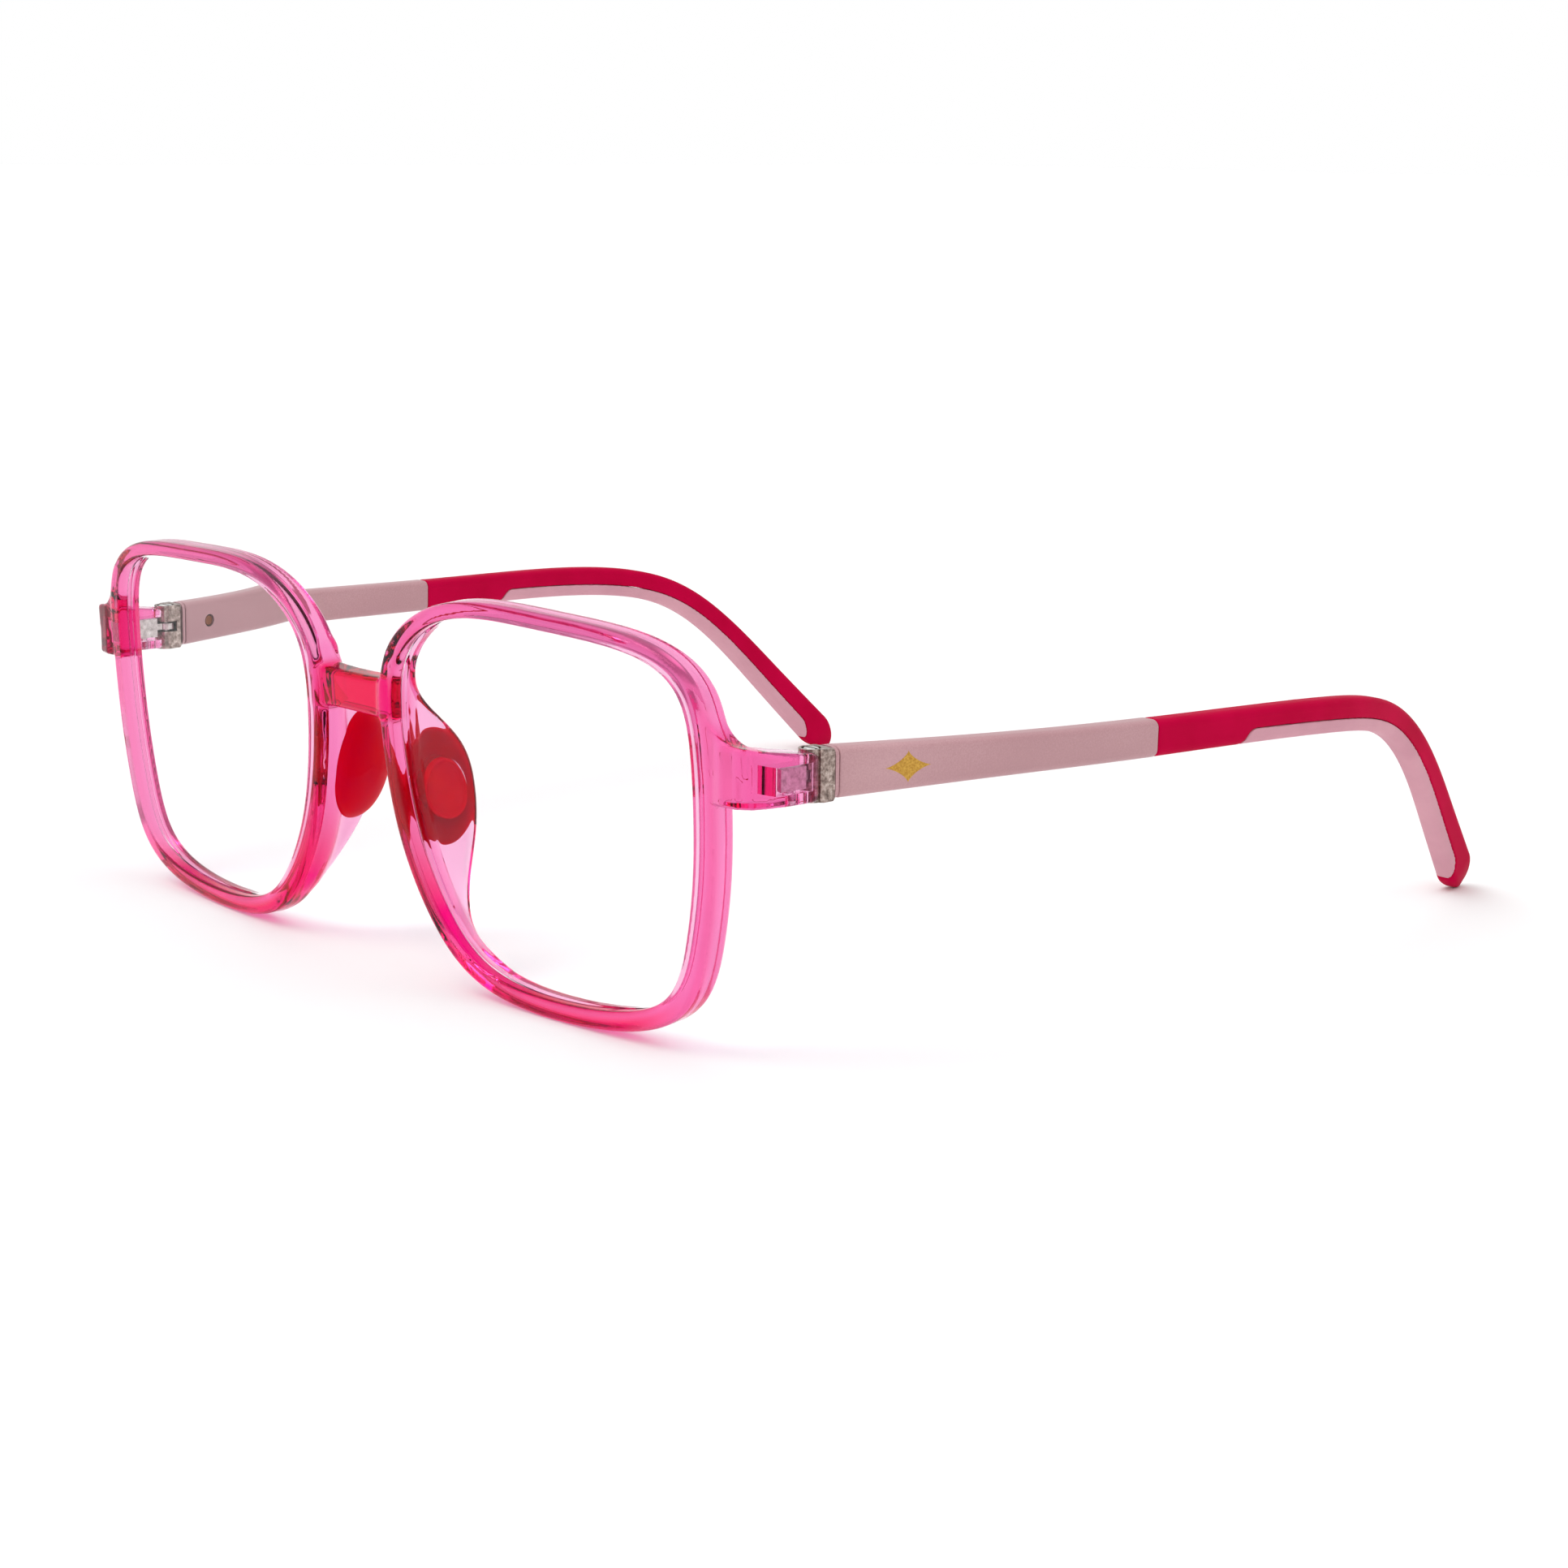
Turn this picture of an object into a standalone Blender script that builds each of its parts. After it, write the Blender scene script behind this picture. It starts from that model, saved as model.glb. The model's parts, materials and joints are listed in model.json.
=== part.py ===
"""Blue light glasses with a one-piece moulded front and two folding temples.

The front faces -Y, the temples run back along +Y, +Z is up and the glasses stand open on a table
at Z = 0, on the bottoms of the two rims and on the two temple tips. X = 0 is the symmetry plane.
Left and right are the wearer's own: left is +X.
"""
import math

import bmesh
import bpy
import numpy as np

MM = 0.001
GAP = 0.3 * MM                      # clearance between neighbouring pieces

# The dimensions below are drawn from the hinge region; this is where the middle of the whole object's
# depth and its lowest point lie in that drawing. Both are put at zero.
MIDDLE_Y = 59.93 * MM
LOWEST_Z = -0.39 * MM
SIDES = (("left", 1.0), ("right", -1.0))

# Front: a gently curved sheet that leans its top edge forward.
FRONT_Y = -5.72 * MM                # front surface at X = 0, half-way up the lenses
FRONT_Z = 22.1 * MM                 # height of the lens centre line
FRONT_LEAN = math.radians(3.25)
FRONT_BOW = 1.1                     # backward sweep of the front surface, in 1 / m
RIM_DEPTH = 3.6 * MM
RIM_EDGE = 0.6 * MM                 # rounding of the rim's outer edges
LENS_CENTRE = 35.4 * MM             # distance of a lens centre from the symmetry plane
RIM_STATIONS = 64

# Lens opening of the +X rim, as points (x, height over the lens centre line), temporal side first.
OPENING = [(56.3, 3.0), (56.2, 11.0), (54.3, 17.0), (47.5, 20.1), (35.4, 21.0), (24.0, 21.1),
           (15.6, 19.2), (9.9, 14.2), (8.8, 6.5), (9.9, -1.5), (12.6, -9.0), (18.0, -16.2),
           (25.5, -19.7), (36.0, -20.3), (46.0, -19.1), (52.2, -15.7), (54.7, -9.5), (55.8, -3.5)]
RIM_WIDE_SIDE = 2.9 * MM            # face width of the rim beside the temple and beside the nose
RIM_WIDE_TOP = 1.8 * MM             # face width above the lens
RIM_WIDE_LOW = 2.3 * MM             # face width below the lens

# Lens and its groove, measured backwards from the front surface.
LENS_MID = 1.8 * MM
LENS_HALF = 0.8 * MM
LENS_EDGE_HALF = 0.35 * MM
LENS_OVERLAP = 0.5 * MM             # how far the lens reaches into the rim
GROOVE_DEEP = 0.8 * MM
GROOVE_MOUTH = 0.65 * MM
GROOVE_FLOOR = 0.55 * MM

# Bridge bar.
BRIDGE_HEIGHT = 9.7 * MM            # its centre, over the lens centre line
BRIDGE_HALF_TALL = 2.4 * MM
BRIDGE_FLARE = 0.4 * MM             # extra half height where it meets the rims
BRIDGE_REACH = 7.6 * MM
BRIDGE_FRONT = 0.25 * MM
BRIDGE_BACK = 3.5 * MM

# Wings that carry the nose pads: height over the lens centre line, X of the wing's root, and how far
# its free edge lies behind the front surface.
WING = [(13.2, 7.7, 3.6), (9.0, 7.6, 5.4), (4.0, 7.6, 9.2), (-1.5, 8.2, 10.3), (-6.5, 9.8, 9.1),
        (-11.0, 11.8, 6.9), (-15.0, 14.6, 4.7), (-17.5, 17.6, 3.0)]
WING_ROOT = 2.75 * MM
WING_THICK = 1.8 * MM
WING_SPLAY = 0.25                   # sideways slope of the wing as it runs back

# Nose pad.
PAD_AT = (0.75 * MM, 21.35 * MM)     # Y and Z of its centre
PAD_HALF_WIDE = 4.3 * MM
PAD_HALF_TALL = 6.8 * MM
PAD_THICK = 2.5 * MM
PAD_CLEAR = 0.45 * MM               # space between the pad's flat back and the wing
PLUG_HALF_WIDE = 2.6 * MM
PLUG_HALF_TALL = 3.5 * MM
PLUG_PROUD = 0.35 * MM

# Hinge.
HINGE_X = 62.6 * MM
HINGE_Y = 8.4 * MM
HINGE_LOW = 27.55 * MM
HINGE_HIGH = 33.15 * MM
HINGE_MID = 30.45 * MM
KNUCKLE_R = 1.35 * MM
EYE_R = 1.05 * MM
EYE_HALF = 0.4 * MM
BLADE_HALF = 0.55 * MM
SWING_R = 2.35 * MM                 # room for the cap's inner corner as the temple folds
SLOT_REACH = 0.85 * MM              # how far the eye's slot is open past the hinge axis
SCREW_R = 0.42 * MM
SCREW_HEAD_R = 0.85 * MM
SCREW_HEAD_TALL = 0.45 * MM
BORE_SLACK = 0.2 * MM
CAP_X = (61.3 * MM, 64.5 * MM)
CAP_FRONT = 8.3 * MM
CAP_BACK = -0.4 * MM                # along the temple's centre line

# Lug: plan outline (x, y) of the +X lug, and the heights of its top and bottom, front and back.
LUG_PLAN = [(57.7, -1.9), (60.6, -2.3), (62.6, -1.9), (63.9, -0.7), (64.5, 1.2), (64.8, 4.0),
            (64.8, 7.2), (64.3, 7.95), (60.9, 7.95), (60.7, 3.6), (59.6, 1.6), (57.7, 1.2)]
LUG_FRONT_Z = (27.9 * MM, 34.3 * MM)
LUG_BACK_Z = (27.8 * MM, 32.75 * MM)
LUG_EDGE = 0.5 * MM                 # height of the softened top and bottom edges
LUG_INSET = 0.09                    # how much the plan draws in over those edges
POCKET_X = (60.0 * MM, 63.8 * MM)
POCKET_Y = (2.4 * MM, 7.4 * MM)
POCKET_HALF = 1.5 * MM
TONGUE_X = (61.6 * MM, 63.5 * MM)
TONGUE_Y = (3.2 * MM, 6.6 * MM)
TONGUE_HALF = 1.2 * MM
PIN_AT = (62.5 * MM, 5.1 * MM)
PIN_R = 0.55 * MM

# Temple: the centre of its outer face as (y, z, x), and its height there.
TEMPLE = [(10.45, 30.45, 64.5), (30.5, 30.2, 68.4), (50.5, 29.65, 70.2), (69.0, 29.3, 71.4),
          (84.9, 28.65, 71.7), (98.0, 26.2, 69.7), (107.75, 19.7, 67.5), (115.7, 11.3, 65.2),
          (123.95, 2.24, 62.65)]
TEMPLE_TALL = [5.5, 4.6, 4.3, 4.15, 4.1, 4.0, 4.0, 4.3, 4.9]
TEMPLE_THICK = 3.0 * MM
TEMPLE_ROUND = 0.9 * MM
PLATE_START = -0.25 * MM
PLATE_THICK = 0.4 * MM
ARM_START = 0.35 * MM
ARM_END = 43.8 * MM                 # where the hard arm gives way to the soft sleeve
TIP_POINT = 2.9 * MM                # length of the blunt point that closes the tip
TIP_BLUNT = 0.3                     # share of the height left at the end of the point
TANG_END = 9.5 * MM
TANG_HALF_WIDE = 0.6 * MM
TANG_HALF_TALL = 1.2 * MM
TANG_SCREW_AT = 4.5 * MM
TANG_SCREW_R = 0.6 * MM
WIRE_START = 33.0 * MM
WIRE_END = 115.0 * MM
WIRE_R = 0.5 * MM
WIRE_RAISE = 0.85 * MM              # the wire runs above the centre line, clear of the inlay
INLAY_START = (56.0 * MM, 59.7 * MM)
INLAY_END = (120.6 * MM, 125.2 * MM)
INLAY_TOP = (-0.3 * MM, -0.75 * MM) # height of its upper edge over the centre line, first and last
INLAY_CLEAR = 0.25 * MM


# ---------------------------------------------------------------- curves and frames
def spline_slopes(points, closed):
    """Slopes of the smoothest cubic through the points, one unit of parameter apart."""
    count = len(points)
    matrix = np.zeros((count, count))
    right = np.zeros((count, points.shape[1]))
    for i in range(count):
        if closed or 0 < i < count - 1:
            matrix[i, i] = 4.0
            matrix[i, (i - 1) % count] = 1.0
            matrix[i, (i + 1) % count] = 1.0
            right[i] = 3.0 * (points[(i + 1) % count] - points[(i - 1) % count])
        else:
            other = 1 if i == 0 else count - 2
            matrix[i, i] = 2.0
            matrix[i, other] = 1.0
            right[i] = 3.0 * (points[other] - points[i]) * (1 if i == 0 else -1)
    return np.linalg.solve(matrix, right)


def spline(points, at, closed=False):
    """Read the cubic through the points at the given parameters, in units of point number."""
    points = np.asarray(points, dtype=float)
    slopes = spline_slopes(points, closed)
    count = len(points)
    at = np.asarray(at, dtype=float)
    low = np.floor(at).astype(int)
    if not closed:
        low = np.clip(low, 0, count - 2)
    t = (at - low)[:, None]
    a, b = low % count, (low + 1) % count
    h00 = 2 * t ** 3 - 3 * t ** 2 + 1
    h10 = t ** 3 - 2 * t ** 2 + t
    h01 = -2 * t ** 3 + 3 * t ** 2
    h11 = t ** 3 - t ** 2
    return h00 * points[a] + h10 * slopes[a] + h01 * points[b] + h11 * slopes[b]


def smoothstep(value, low, high):
    t = np.clip((value - low) / (high - low), 0.0, 1.0)
    return t * t * (3 - 2 * t)


def front_point(x, height, depth):
    """Position of a point given on the front: sideways, along its lean, and behind its face."""
    x, height, depth = np.broadcast_arrays(*(np.asarray(v, dtype=float) for v in (x, height, depth)))
    bow = FRONT_BOW * x * x
    shifted = x - depth * 2 * FRONT_BOW * x
    back = bow + depth
    y = FRONT_Y - height * math.sin(FRONT_LEAN) + back * math.cos(FRONT_LEAN)
    z = FRONT_Z + height * math.cos(FRONT_LEAN) + back * math.sin(FRONT_LEAN)
    return np.stack([shifted, y, z], axis=-1)


class TemplePath:
    """The centre line of a temple, read by distance from its front end. Its sections run along X."""

    def __init__(self):
        fine = np.linspace(0, len(TEMPLE) - 1, 801)
        y, z, x = (spline(np.array(TEMPLE) * MM, fine)).T
        outer = np.stack([x, y, z], axis=1)
        self.tall = spline(np.array(TEMPLE_TALL)[:, None] * MM, fine)[:, 0]
        run = np.gradient(outer, axis=0)
        self.ahead = run / np.linalg.norm(run, axis=1)[:, None]
        across = np.array([1.0, 0.0, 0.0])
        up = np.cross(across, self.ahead)
        self.up = up / np.linalg.norm(up, axis=1)[:, None]
        self.centre = outer - across * TEMPLE_THICK / 2
        step = np.linalg.norm(np.diff(outer, axis=0), axis=1)
        self.distance = np.concatenate([[0.0], np.cumsum(step)])
        self.length = self.distance[-1]

    def read(self, table, s):
        return np.stack([np.interp(s, self.distance, table[:, i]) for i in range(3)], axis=-1)

    def point(self, s, side, up):
        """Position at distance s, offset sideways (outwards) and upwards."""
        s = np.asarray(s, dtype=float)
        beyond = s - np.clip(s, 0.0, self.length)
        base = self.read(self.centre, s) + self.read(self.ahead, s) * beyond[..., None]
        offset = np.array([1.0, 0.0, 0.0]) * np.asarray(side)[..., None]
        return base + offset + self.read(self.up, s) * np.asarray(up)[..., None]

    def height(self, s):
        return np.interp(s, self.distance, self.tall)


PATH = TemplePath()


# ---------------------------------------------------------------- meshes and booleans
def material(name, colour, roughness, metallic=0.0, alpha=1.0):
    made = bpy.data.materials.new(name)
    made.use_nodes = True
    shader = made.node_tree.nodes["Principled BSDF"]
    shader.inputs["Base Color"].default_value = (*colour, 1.0)
    shader.inputs["Roughness"].default_value = roughness
    shader.inputs["Metallic"].default_value = metallic
    shader.inputs["Alpha"].default_value = alpha
    return made


def make(name, verts, faces, side=1.0):
    """A mesh object of the given points and faces, mirrored for the -X side, facing outwards."""
    verts = np.asarray(verts, dtype=float) * [side, 1.0, 1.0] - [0.0, MIDDLE_Y, LOWEST_Z]
    mesh = bpy.data.meshes.new(name)
    mesh.from_pydata([tuple(v) for v in verts], [], faces)
    shell = bmesh.new()
    shell.from_mesh(mesh)
    bmesh.ops.recalc_face_normals(shell, faces=shell.faces)
    shell.to_mesh(mesh)
    shell.free()
    thing = bpy.data.objects.new(name, mesh)
    bpy.context.scene.collection.objects.link(thing)
    return thing


def loft(name, rings, side=1.0, looped=False):
    """Skin closed rings of equal length: looped joins the last ring to the first, else both are capped."""
    rings = np.asarray(rings, dtype=float)
    rows, cols = rings.shape[:2]
    faces = []
    for i in range(rows if looped else rows - 1):
        for j in range(cols):
            a, b = i * cols, ((i + 1) % rows) * cols
            k = (j + 1) % cols
            faces.append((a + j, a + k, b + k, b + j))
    if not looped:
        faces.append(tuple(range(cols)))
        faces.append(tuple(range((rows - 1) * cols, rows * cols)))
    return make(name, rings.reshape(-1, 3), faces, side)


def box(name, low, high, side=1.0):
    corners = [(x, y) for x, y in ((low[0], low[1]), (high[0], low[1]), (high[0], high[1]), (low[0], high[1]))]
    rings = [[(x, y, z) for x, y in corners] for z in (low[2], high[2])]
    return loft(name, rings, side)


def post(name, x, y, low, high, radius, side=1.0, sides=32, profile=None):
    """An upright round post, or a turned one whose profile is a list of (height, radius)."""
    turn = np.arange(sides) * 2 * math.pi / sides
    steps = profile or [(low, radius), (high, radius)]
    rings = [np.stack([x + r * np.cos(turn), y + r * np.sin(turn), np.full(sides, z)], axis=1)
             for z, r in steps]
    return loft(name, rings, side)


def apply_boolean(target, tool, operation):
    """Combine two closed meshes, keep the result on the target and drop the tool."""
    step = target.modifiers.new("combine", "BOOLEAN")
    step.operation = operation
    step.solver = "EXACT"
    step.object = tool
    bpy.context.view_layer.update()
    depsgraph = bpy.context.evaluated_depsgraph_get()
    result = bpy.data.meshes.new_from_object(target.evaluated_get(depsgraph))
    target.modifiers.clear()
    old = target.data
    target.data = result
    bpy.data.meshes.remove(old)
    bpy.data.objects.remove(tool)
    return target


def finish(thing, name, look, smooth_below=40.0):
    """Weld, shade and name a finished piece."""
    shell = bmesh.new()
    shell.from_mesh(thing.data)
    bmesh.ops.remove_doubles(shell, verts=shell.verts, dist=0.000002)
    bmesh.ops.dissolve_degenerate(shell, edges=shell.edges, dist=0.000002)
    bmesh.ops.triangulate(shell, faces=shell.faces)
    bmesh.ops.recalc_face_normals(shell, faces=shell.faces)
    shell.to_mesh(thing.data)
    shell.free()
    thing.name = name
    thing.data.name = name
    thing.data.materials.clear()
    thing.data.materials.append(look)
    thing.data.shade_smooth()
    thing.data.set_sharp_from_angle(angle=math.radians(smooth_below))
    return thing


def move_origin(thing, x, y, z):
    """Put the object's origin at a point without moving its shape."""
    shift = np.array([x, y, z])
    for vertex in thing.data.vertices:
        vertex.co = [vertex.co[i] - shift[i] for i in range(3)]
    thing.location = (x, y, z)


# ---------------------------------------------------------------- front
def opening_outline(count):
    """Lens opening of the +X rim: positions and outward unit normals at evenly spaced parameters."""
    at = np.arange(count) * len(OPENING) / count
    points = np.array(OPENING) * MM
    here = spline(points, at, closed=True)
    run = spline(points, at + 0.01, closed=True) - spline(points, at - 0.01, closed=True)
    normal = np.stack([run[:, 1], -run[:, 0]], axis=1)
    normal /= np.linalg.norm(normal, axis=1)[:, None]
    inward = ((here - [LENS_CENTRE, 0.0]) * normal).sum(axis=1) < 0
    normal[inward] *= -1
    return here, normal


def rim_width(normal):
    """The rim's face is wider at the sides than above and below the lens."""
    sideways = normal[:, 0] ** 2
    upright = np.where(normal[:, 1] > 0, RIM_WIDE_TOP, RIM_WIDE_LOW)
    return upright + (RIM_WIDE_SIDE - upright) * sideways


def rim_section(width):
    """Rim section as (outwards, backwards) points, with the lens groove on its inner side."""
    chamfer = 0.35 * MM
    return [(0.0, chamfer), (chamfer, 0.0), (width - RIM_EDGE, 0.0), (width - RIM_EDGE * 0.3, RIM_EDGE * 0.3),
            (width, RIM_EDGE), (width, RIM_DEPTH - RIM_EDGE),
            (width - RIM_EDGE * 0.3, RIM_DEPTH - RIM_EDGE * 0.3), (width - RIM_EDGE, RIM_DEPTH),
            (chamfer, RIM_DEPTH), (0.0, RIM_DEPTH - chamfer),
            (0.0, LENS_MID + GROOVE_MOUTH), (GROOVE_DEEP, LENS_MID + GROOVE_FLOOR),
            (GROOVE_DEEP, LENS_MID - GROOVE_FLOOR), (0.0, LENS_MID - GROOVE_MOUTH)]


def rim(side):
    here, normal = opening_outline(RIM_STATIONS)
    widths = rim_width(normal)
    rings = []
    for point, out, width in zip(here, normal, widths):
        section = np.array(rim_section(width))
        flat = point + out * section[:, :1]
        rings.append(front_point(flat[:, 0], flat[:, 1], section[:, 1]))
    return loft("rim", rings, side, looped=True)


def bridge():
    rings = []
    for x in np.linspace(-BRIDGE_REACH, BRIDGE_REACH, 11):
        tall = BRIDGE_HALF_TALL + BRIDGE_FLARE * (abs(x) / BRIDGE_REACH) ** 3
        turn = (np.arange(14) + 0.5) * 2 * math.pi / 14
        square = np.sign(np.cos(turn)) * np.abs(np.cos(turn)) ** 0.6
        upright = np.sign(np.sin(turn)) * np.abs(np.sin(turn)) ** 0.6
        depth = (BRIDGE_FRONT + BRIDGE_BACK) / 2 + square * (BRIDGE_BACK - BRIDGE_FRONT) / 2
        rings.append(front_point(x, BRIDGE_HEIGHT + upright * tall, depth))
    return loft("bridge", rings)


def wing_rows(count):
    """Height, root X and edge depth of the wing at evenly spaced stations."""
    return spline(np.array(WING) * MM, np.linspace(0, len(WING) - 1, count)).T


def wing(side):
    rings = []
    half = WING_THICK / 2
    for height, root, edge in zip(*wing_rows(21)):
        edge = max(edge, WING_ROOT + 0.4 * MM)
        soft = min(half, (edge - WING_ROOT) / 2)
        arc = np.linspace(-math.pi / 2, math.pi / 2, 5)
        depth = np.concatenate([[WING_ROOT], edge - soft + soft * np.cos(arc), [WING_ROOT]])
        across = np.concatenate([[-half], half * np.sin(arc), [half]])
        x = root + across + WING_SPLAY * (depth - RIM_DEPTH)
        rings.append(front_point(x, np.full_like(x, height), depth))
    return loft("wing", rings, side)


def lug(side):
    """The lug's plan drawn upright between its sloping top and bottom, with softened edges."""
    plan = np.array(LUG_PLAN) * MM
    middle = plan.mean(axis=0)
    back = np.clip((plan[:, 1] - plan[:, 1].min()) / np.ptp(plan[:, 1]), 0, 1)
    rings = []
    for end, edge, inset in ((0, 0.0, LUG_INSET), (0, LUG_EDGE, 0.0), (1, -LUG_EDGE, 0.0), (1, 0.0, LUG_INSET)):
        z = LUG_FRONT_Z[end] + (LUG_BACK_Z[end] - LUG_FRONT_Z[end]) * back + edge
        flat = middle + (plan - middle) * (1 - inset)
        rings.append(np.column_stack([flat, z]))
    return loft("lug", rings, side)


def swing_room(side):
    """A quarter round, inwards of the hinge axis, that the cap's inner corner swings through."""
    turn = np.linspace(math.pi, 1.5 * math.pi, 8)
    plan = [(HINGE_X + SWING_R * math.cos(t), HINGE_Y + SWING_R * math.sin(t)) for t in turn]
    plan += [(HINGE_X, HINGE_Y + 1 * MM), (HINGE_X - SWING_R, HINGE_Y + 1 * MM)]
    rings = [[(x, y, z) for x, y in plan] for z in (20 * MM, 40 * MM)]
    return loft("swing_room", rings, side)


def pad_hole(side, slack):
    """An oval post along X through the wing, the size of the pad's plug plus the slack."""
    turn = np.arange(20) * 2 * math.pi / 20
    y = PAD_AT[0] + (PLUG_HALF_WIDE + slack) * np.cos(turn)
    z = PAD_AT[1] + (PLUG_HALF_TALL + slack) * np.sin(turn)
    rings = [np.stack([np.full(20, x), y, z], axis=1) for x in (6.0 * MM, 12.5 * MM)]
    return loft("pad_hole", rings, side)


def front_frame(look):
    whole = rim(1.0)
    for _, side in SIDES:
        if side < 0:
            apply_boolean(whole, bridge(), "UNION")
            apply_boolean(whole, rim(side), "UNION")
        apply_boolean(whole, wing(side), "UNION")
        apply_boolean(whole, lug(side), "UNION")
    for _, side in SIDES:
        pocket = box("pocket", (POCKET_X[0], POCKET_Y[0], HINGE_MID - POCKET_HALF),
                     (POCKET_X[1], POCKET_Y[1], HINGE_MID + POCKET_HALF), side)
        apply_boolean(whole, pocket, "DIFFERENCE")
        room = post("room", HINGE_X, HINGE_Y, 20 * MM, 40 * MM, KNUCKLE_R + 0.25 * MM, side, sides=32)
        apply_boolean(whole, room, "DIFFERENCE")
        apply_boolean(whole, swing_room(side), "DIFFERENCE")
        hole = post("hole", PIN_AT[0], PIN_AT[1], 20 * MM, HINGE_MID, PIN_R + BORE_SLACK, side, sides=16)
        apply_boolean(whole, hole, "DIFFERENCE")
        apply_boolean(whole, pad_hole(side, GAP), "DIFFERENCE")
    return finish(whole, "front_frame", look)


def lens(name, side, look):
    """A lens: both faces as rings drawn in to the middle, with a bevelled edge that sits in the groove."""
    here, normal = opening_outline(RIM_STATIONS)
    centre = np.array([LENS_CENTRE, 0.0])
    inner = here - normal * 0.3 * MM
    outer = here + normal * LENS_OVERLAP
    rows = [(outer, -LENS_EDGE_HALF), (inner, -LENS_HALF)]
    rows += [(centre + (inner - centre) * part, -LENS_HALF) for part in (0.5,)]
    half = len(rows)
    verts = []
    for sign in (1, -1):
        for flat, depth in rows:
            verts.append(front_point(flat[:, 0], flat[:, 1], LENS_MID + sign * depth))
    count = RIM_STATIONS
    faces = []

    def band(a, b):
        for j in range(count):
            k = (j + 1) % count
            faces.append((a * count + j, a * count + k, b * count + k, b * count + j))

    for i in range(half - 1):
        band(i, i + 1)
        band(half + i + 1, half + i)
    band(half, 0)
    verts = np.concatenate(verts)
    tips = front_point(np.array([LENS_CENTRE] * 2), np.zeros(2), LENS_MID + np.array([-LENS_HALF, LENS_HALF]))
    verts = np.concatenate([verts, tips])
    for row, tip in ((half - 1, len(verts) - 2), (2 * half - 1, len(verts) - 1)):
        for j in range(count):
            faces.append((row * count + j, row * count + (j + 1) % count, tip))
    return finish(make(name, verts, faces, side), name, look)


def wing_middle(y, z):
    """X of the wing's middle plane at the given world Y and Z."""
    height = (z - FRONT_Z) / math.cos(FRONT_LEAN)
    depth = y - FRONT_Y + height * math.sin(FRONT_LEAN)
    table = np.array(WING)[::-1] * MM
    root = np.interp(height, table[:, 0], table[:, 1])
    return root + WING_SPLAY * (depth - RIM_DEPTH) - depth * 2 * FRONT_BOW * root


def nose_pad(name, side, look):
    """An egg-shaped silicone dome on the nose side of the wing, with an oval plug through its hole."""
    turn = np.arange(22) * 2 * math.pi / 22
    egg = 1.0 - 0.10 * np.sin(turn)

    def ring(wide, tall, away):
        y = PAD_AT[0] + wide * np.cos(turn) * egg
        z = PAD_AT[1] + tall * np.sin(turn)
        return np.stack([wing_middle(y, z) - away, y, z], axis=1)

    plug_end = WING_THICK / 2 + PLUG_PROUD
    base = WING_THICK / 2 + PAD_CLEAR
    rings = [ring(PLUG_HALF_WIDE, PLUG_HALF_TALL, -plug_end),
             ring(PLUG_HALF_WIDE, PLUG_HALF_TALL, base),
             ring(PAD_HALF_WIDE * 0.96, PAD_HALF_TALL * 0.97, base)]
    for part in (0.25, 0.5, 0.75, 0.92, 1.0):
        shrink = (1 - part ** 3) ** 0.5 if part < 1 else 0.25
        rings.append(ring(PAD_HALF_WIDE * shrink, PAD_HALF_TALL * shrink, base + PAD_THICK * part))
    return finish(loft(name, rings, side), name, look)


# ---------------------------------------------------------------- hinge
def hinge_tongue(name, side, look):
    """The block held in the lug's pocket, and the flat eye that the hinge screw passes through."""
    block = box(name, (TONGUE_X[0], TONGUE_Y[0], HINGE_MID - TONGUE_HALF),
                (TONGUE_X[1], TONGUE_Y[1], HINGE_MID + TONGUE_HALF), side)
    blade = box("blade", (HINGE_X - BLADE_HALF, TONGUE_Y[1] - 0.5 * MM, HINGE_MID - EYE_HALF),
                (HINGE_X + BLADE_HALF, HINGE_Y, HINGE_MID + EYE_HALF), side)
    apply_boolean(block, blade, "UNION")
    eye = post("eye", HINGE_X, HINGE_Y, HINGE_MID - EYE_HALF, HINGE_MID + EYE_HALF, EYE_R, side, sides=22)
    apply_boolean(block, eye, "UNION")
    bore = post("bore", HINGE_X, HINGE_Y, 20 * MM, 40 * MM, SCREW_R + BORE_SLACK, side, sides=18)
    apply_boolean(block, bore, "DIFFERENCE")
    socket = post("socket", PIN_AT[0], PIN_AT[1], 20 * MM, HINGE_MID + 0.2 * MM, PIN_R + BORE_SLACK, side, sides=16)
    apply_boolean(block, socket, "DIFFERENCE")
    return finish(block, name, look)


def tongue_pin(name, side, look):
    low = LUG_FRONT_Z[0] + 0.1 * MM
    high = HINGE_MID - 0.1 * MM
    profile = [(low, PIN_R * 0.8), (low + 0.15 * MM, PIN_R), (high - 0.15 * MM, PIN_R), (high, PIN_R * 0.7)]
    return finish(post(name, PIN_AT[0], PIN_AT[1], low, high, PIN_R, side, 14, profile), name, look)


def cap_block(side):
    """The cap between the lug's end and the arm, upright and with softened upright edges."""
    back = PATH.point(CAP_BACK, 0.0, 0.0)[1]
    soft = 0.3 * MM
    low_x, high_x = CAP_X
    plan = [(low_x, CAP_FRONT), (high_x - soft, CAP_FRONT), (high_x, CAP_FRONT + soft), (high_x, back),
            (low_x + soft, back), (low_x, back - soft)]
    rings = []
    for z, inset in ((HINGE_LOW, soft), (HINGE_LOW + soft, 0.0), (HINGE_HIGH - soft, 0.0), (HINGE_HIGH, soft)):
        scale = 1 - inset / (high_x - low_x)
        middle = np.mean(plan, axis=0)
        rings.append([(*(middle + (np.array(corner) - middle) * scale), z) for corner in plan])
    return loft("cap_block", rings, side)


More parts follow.
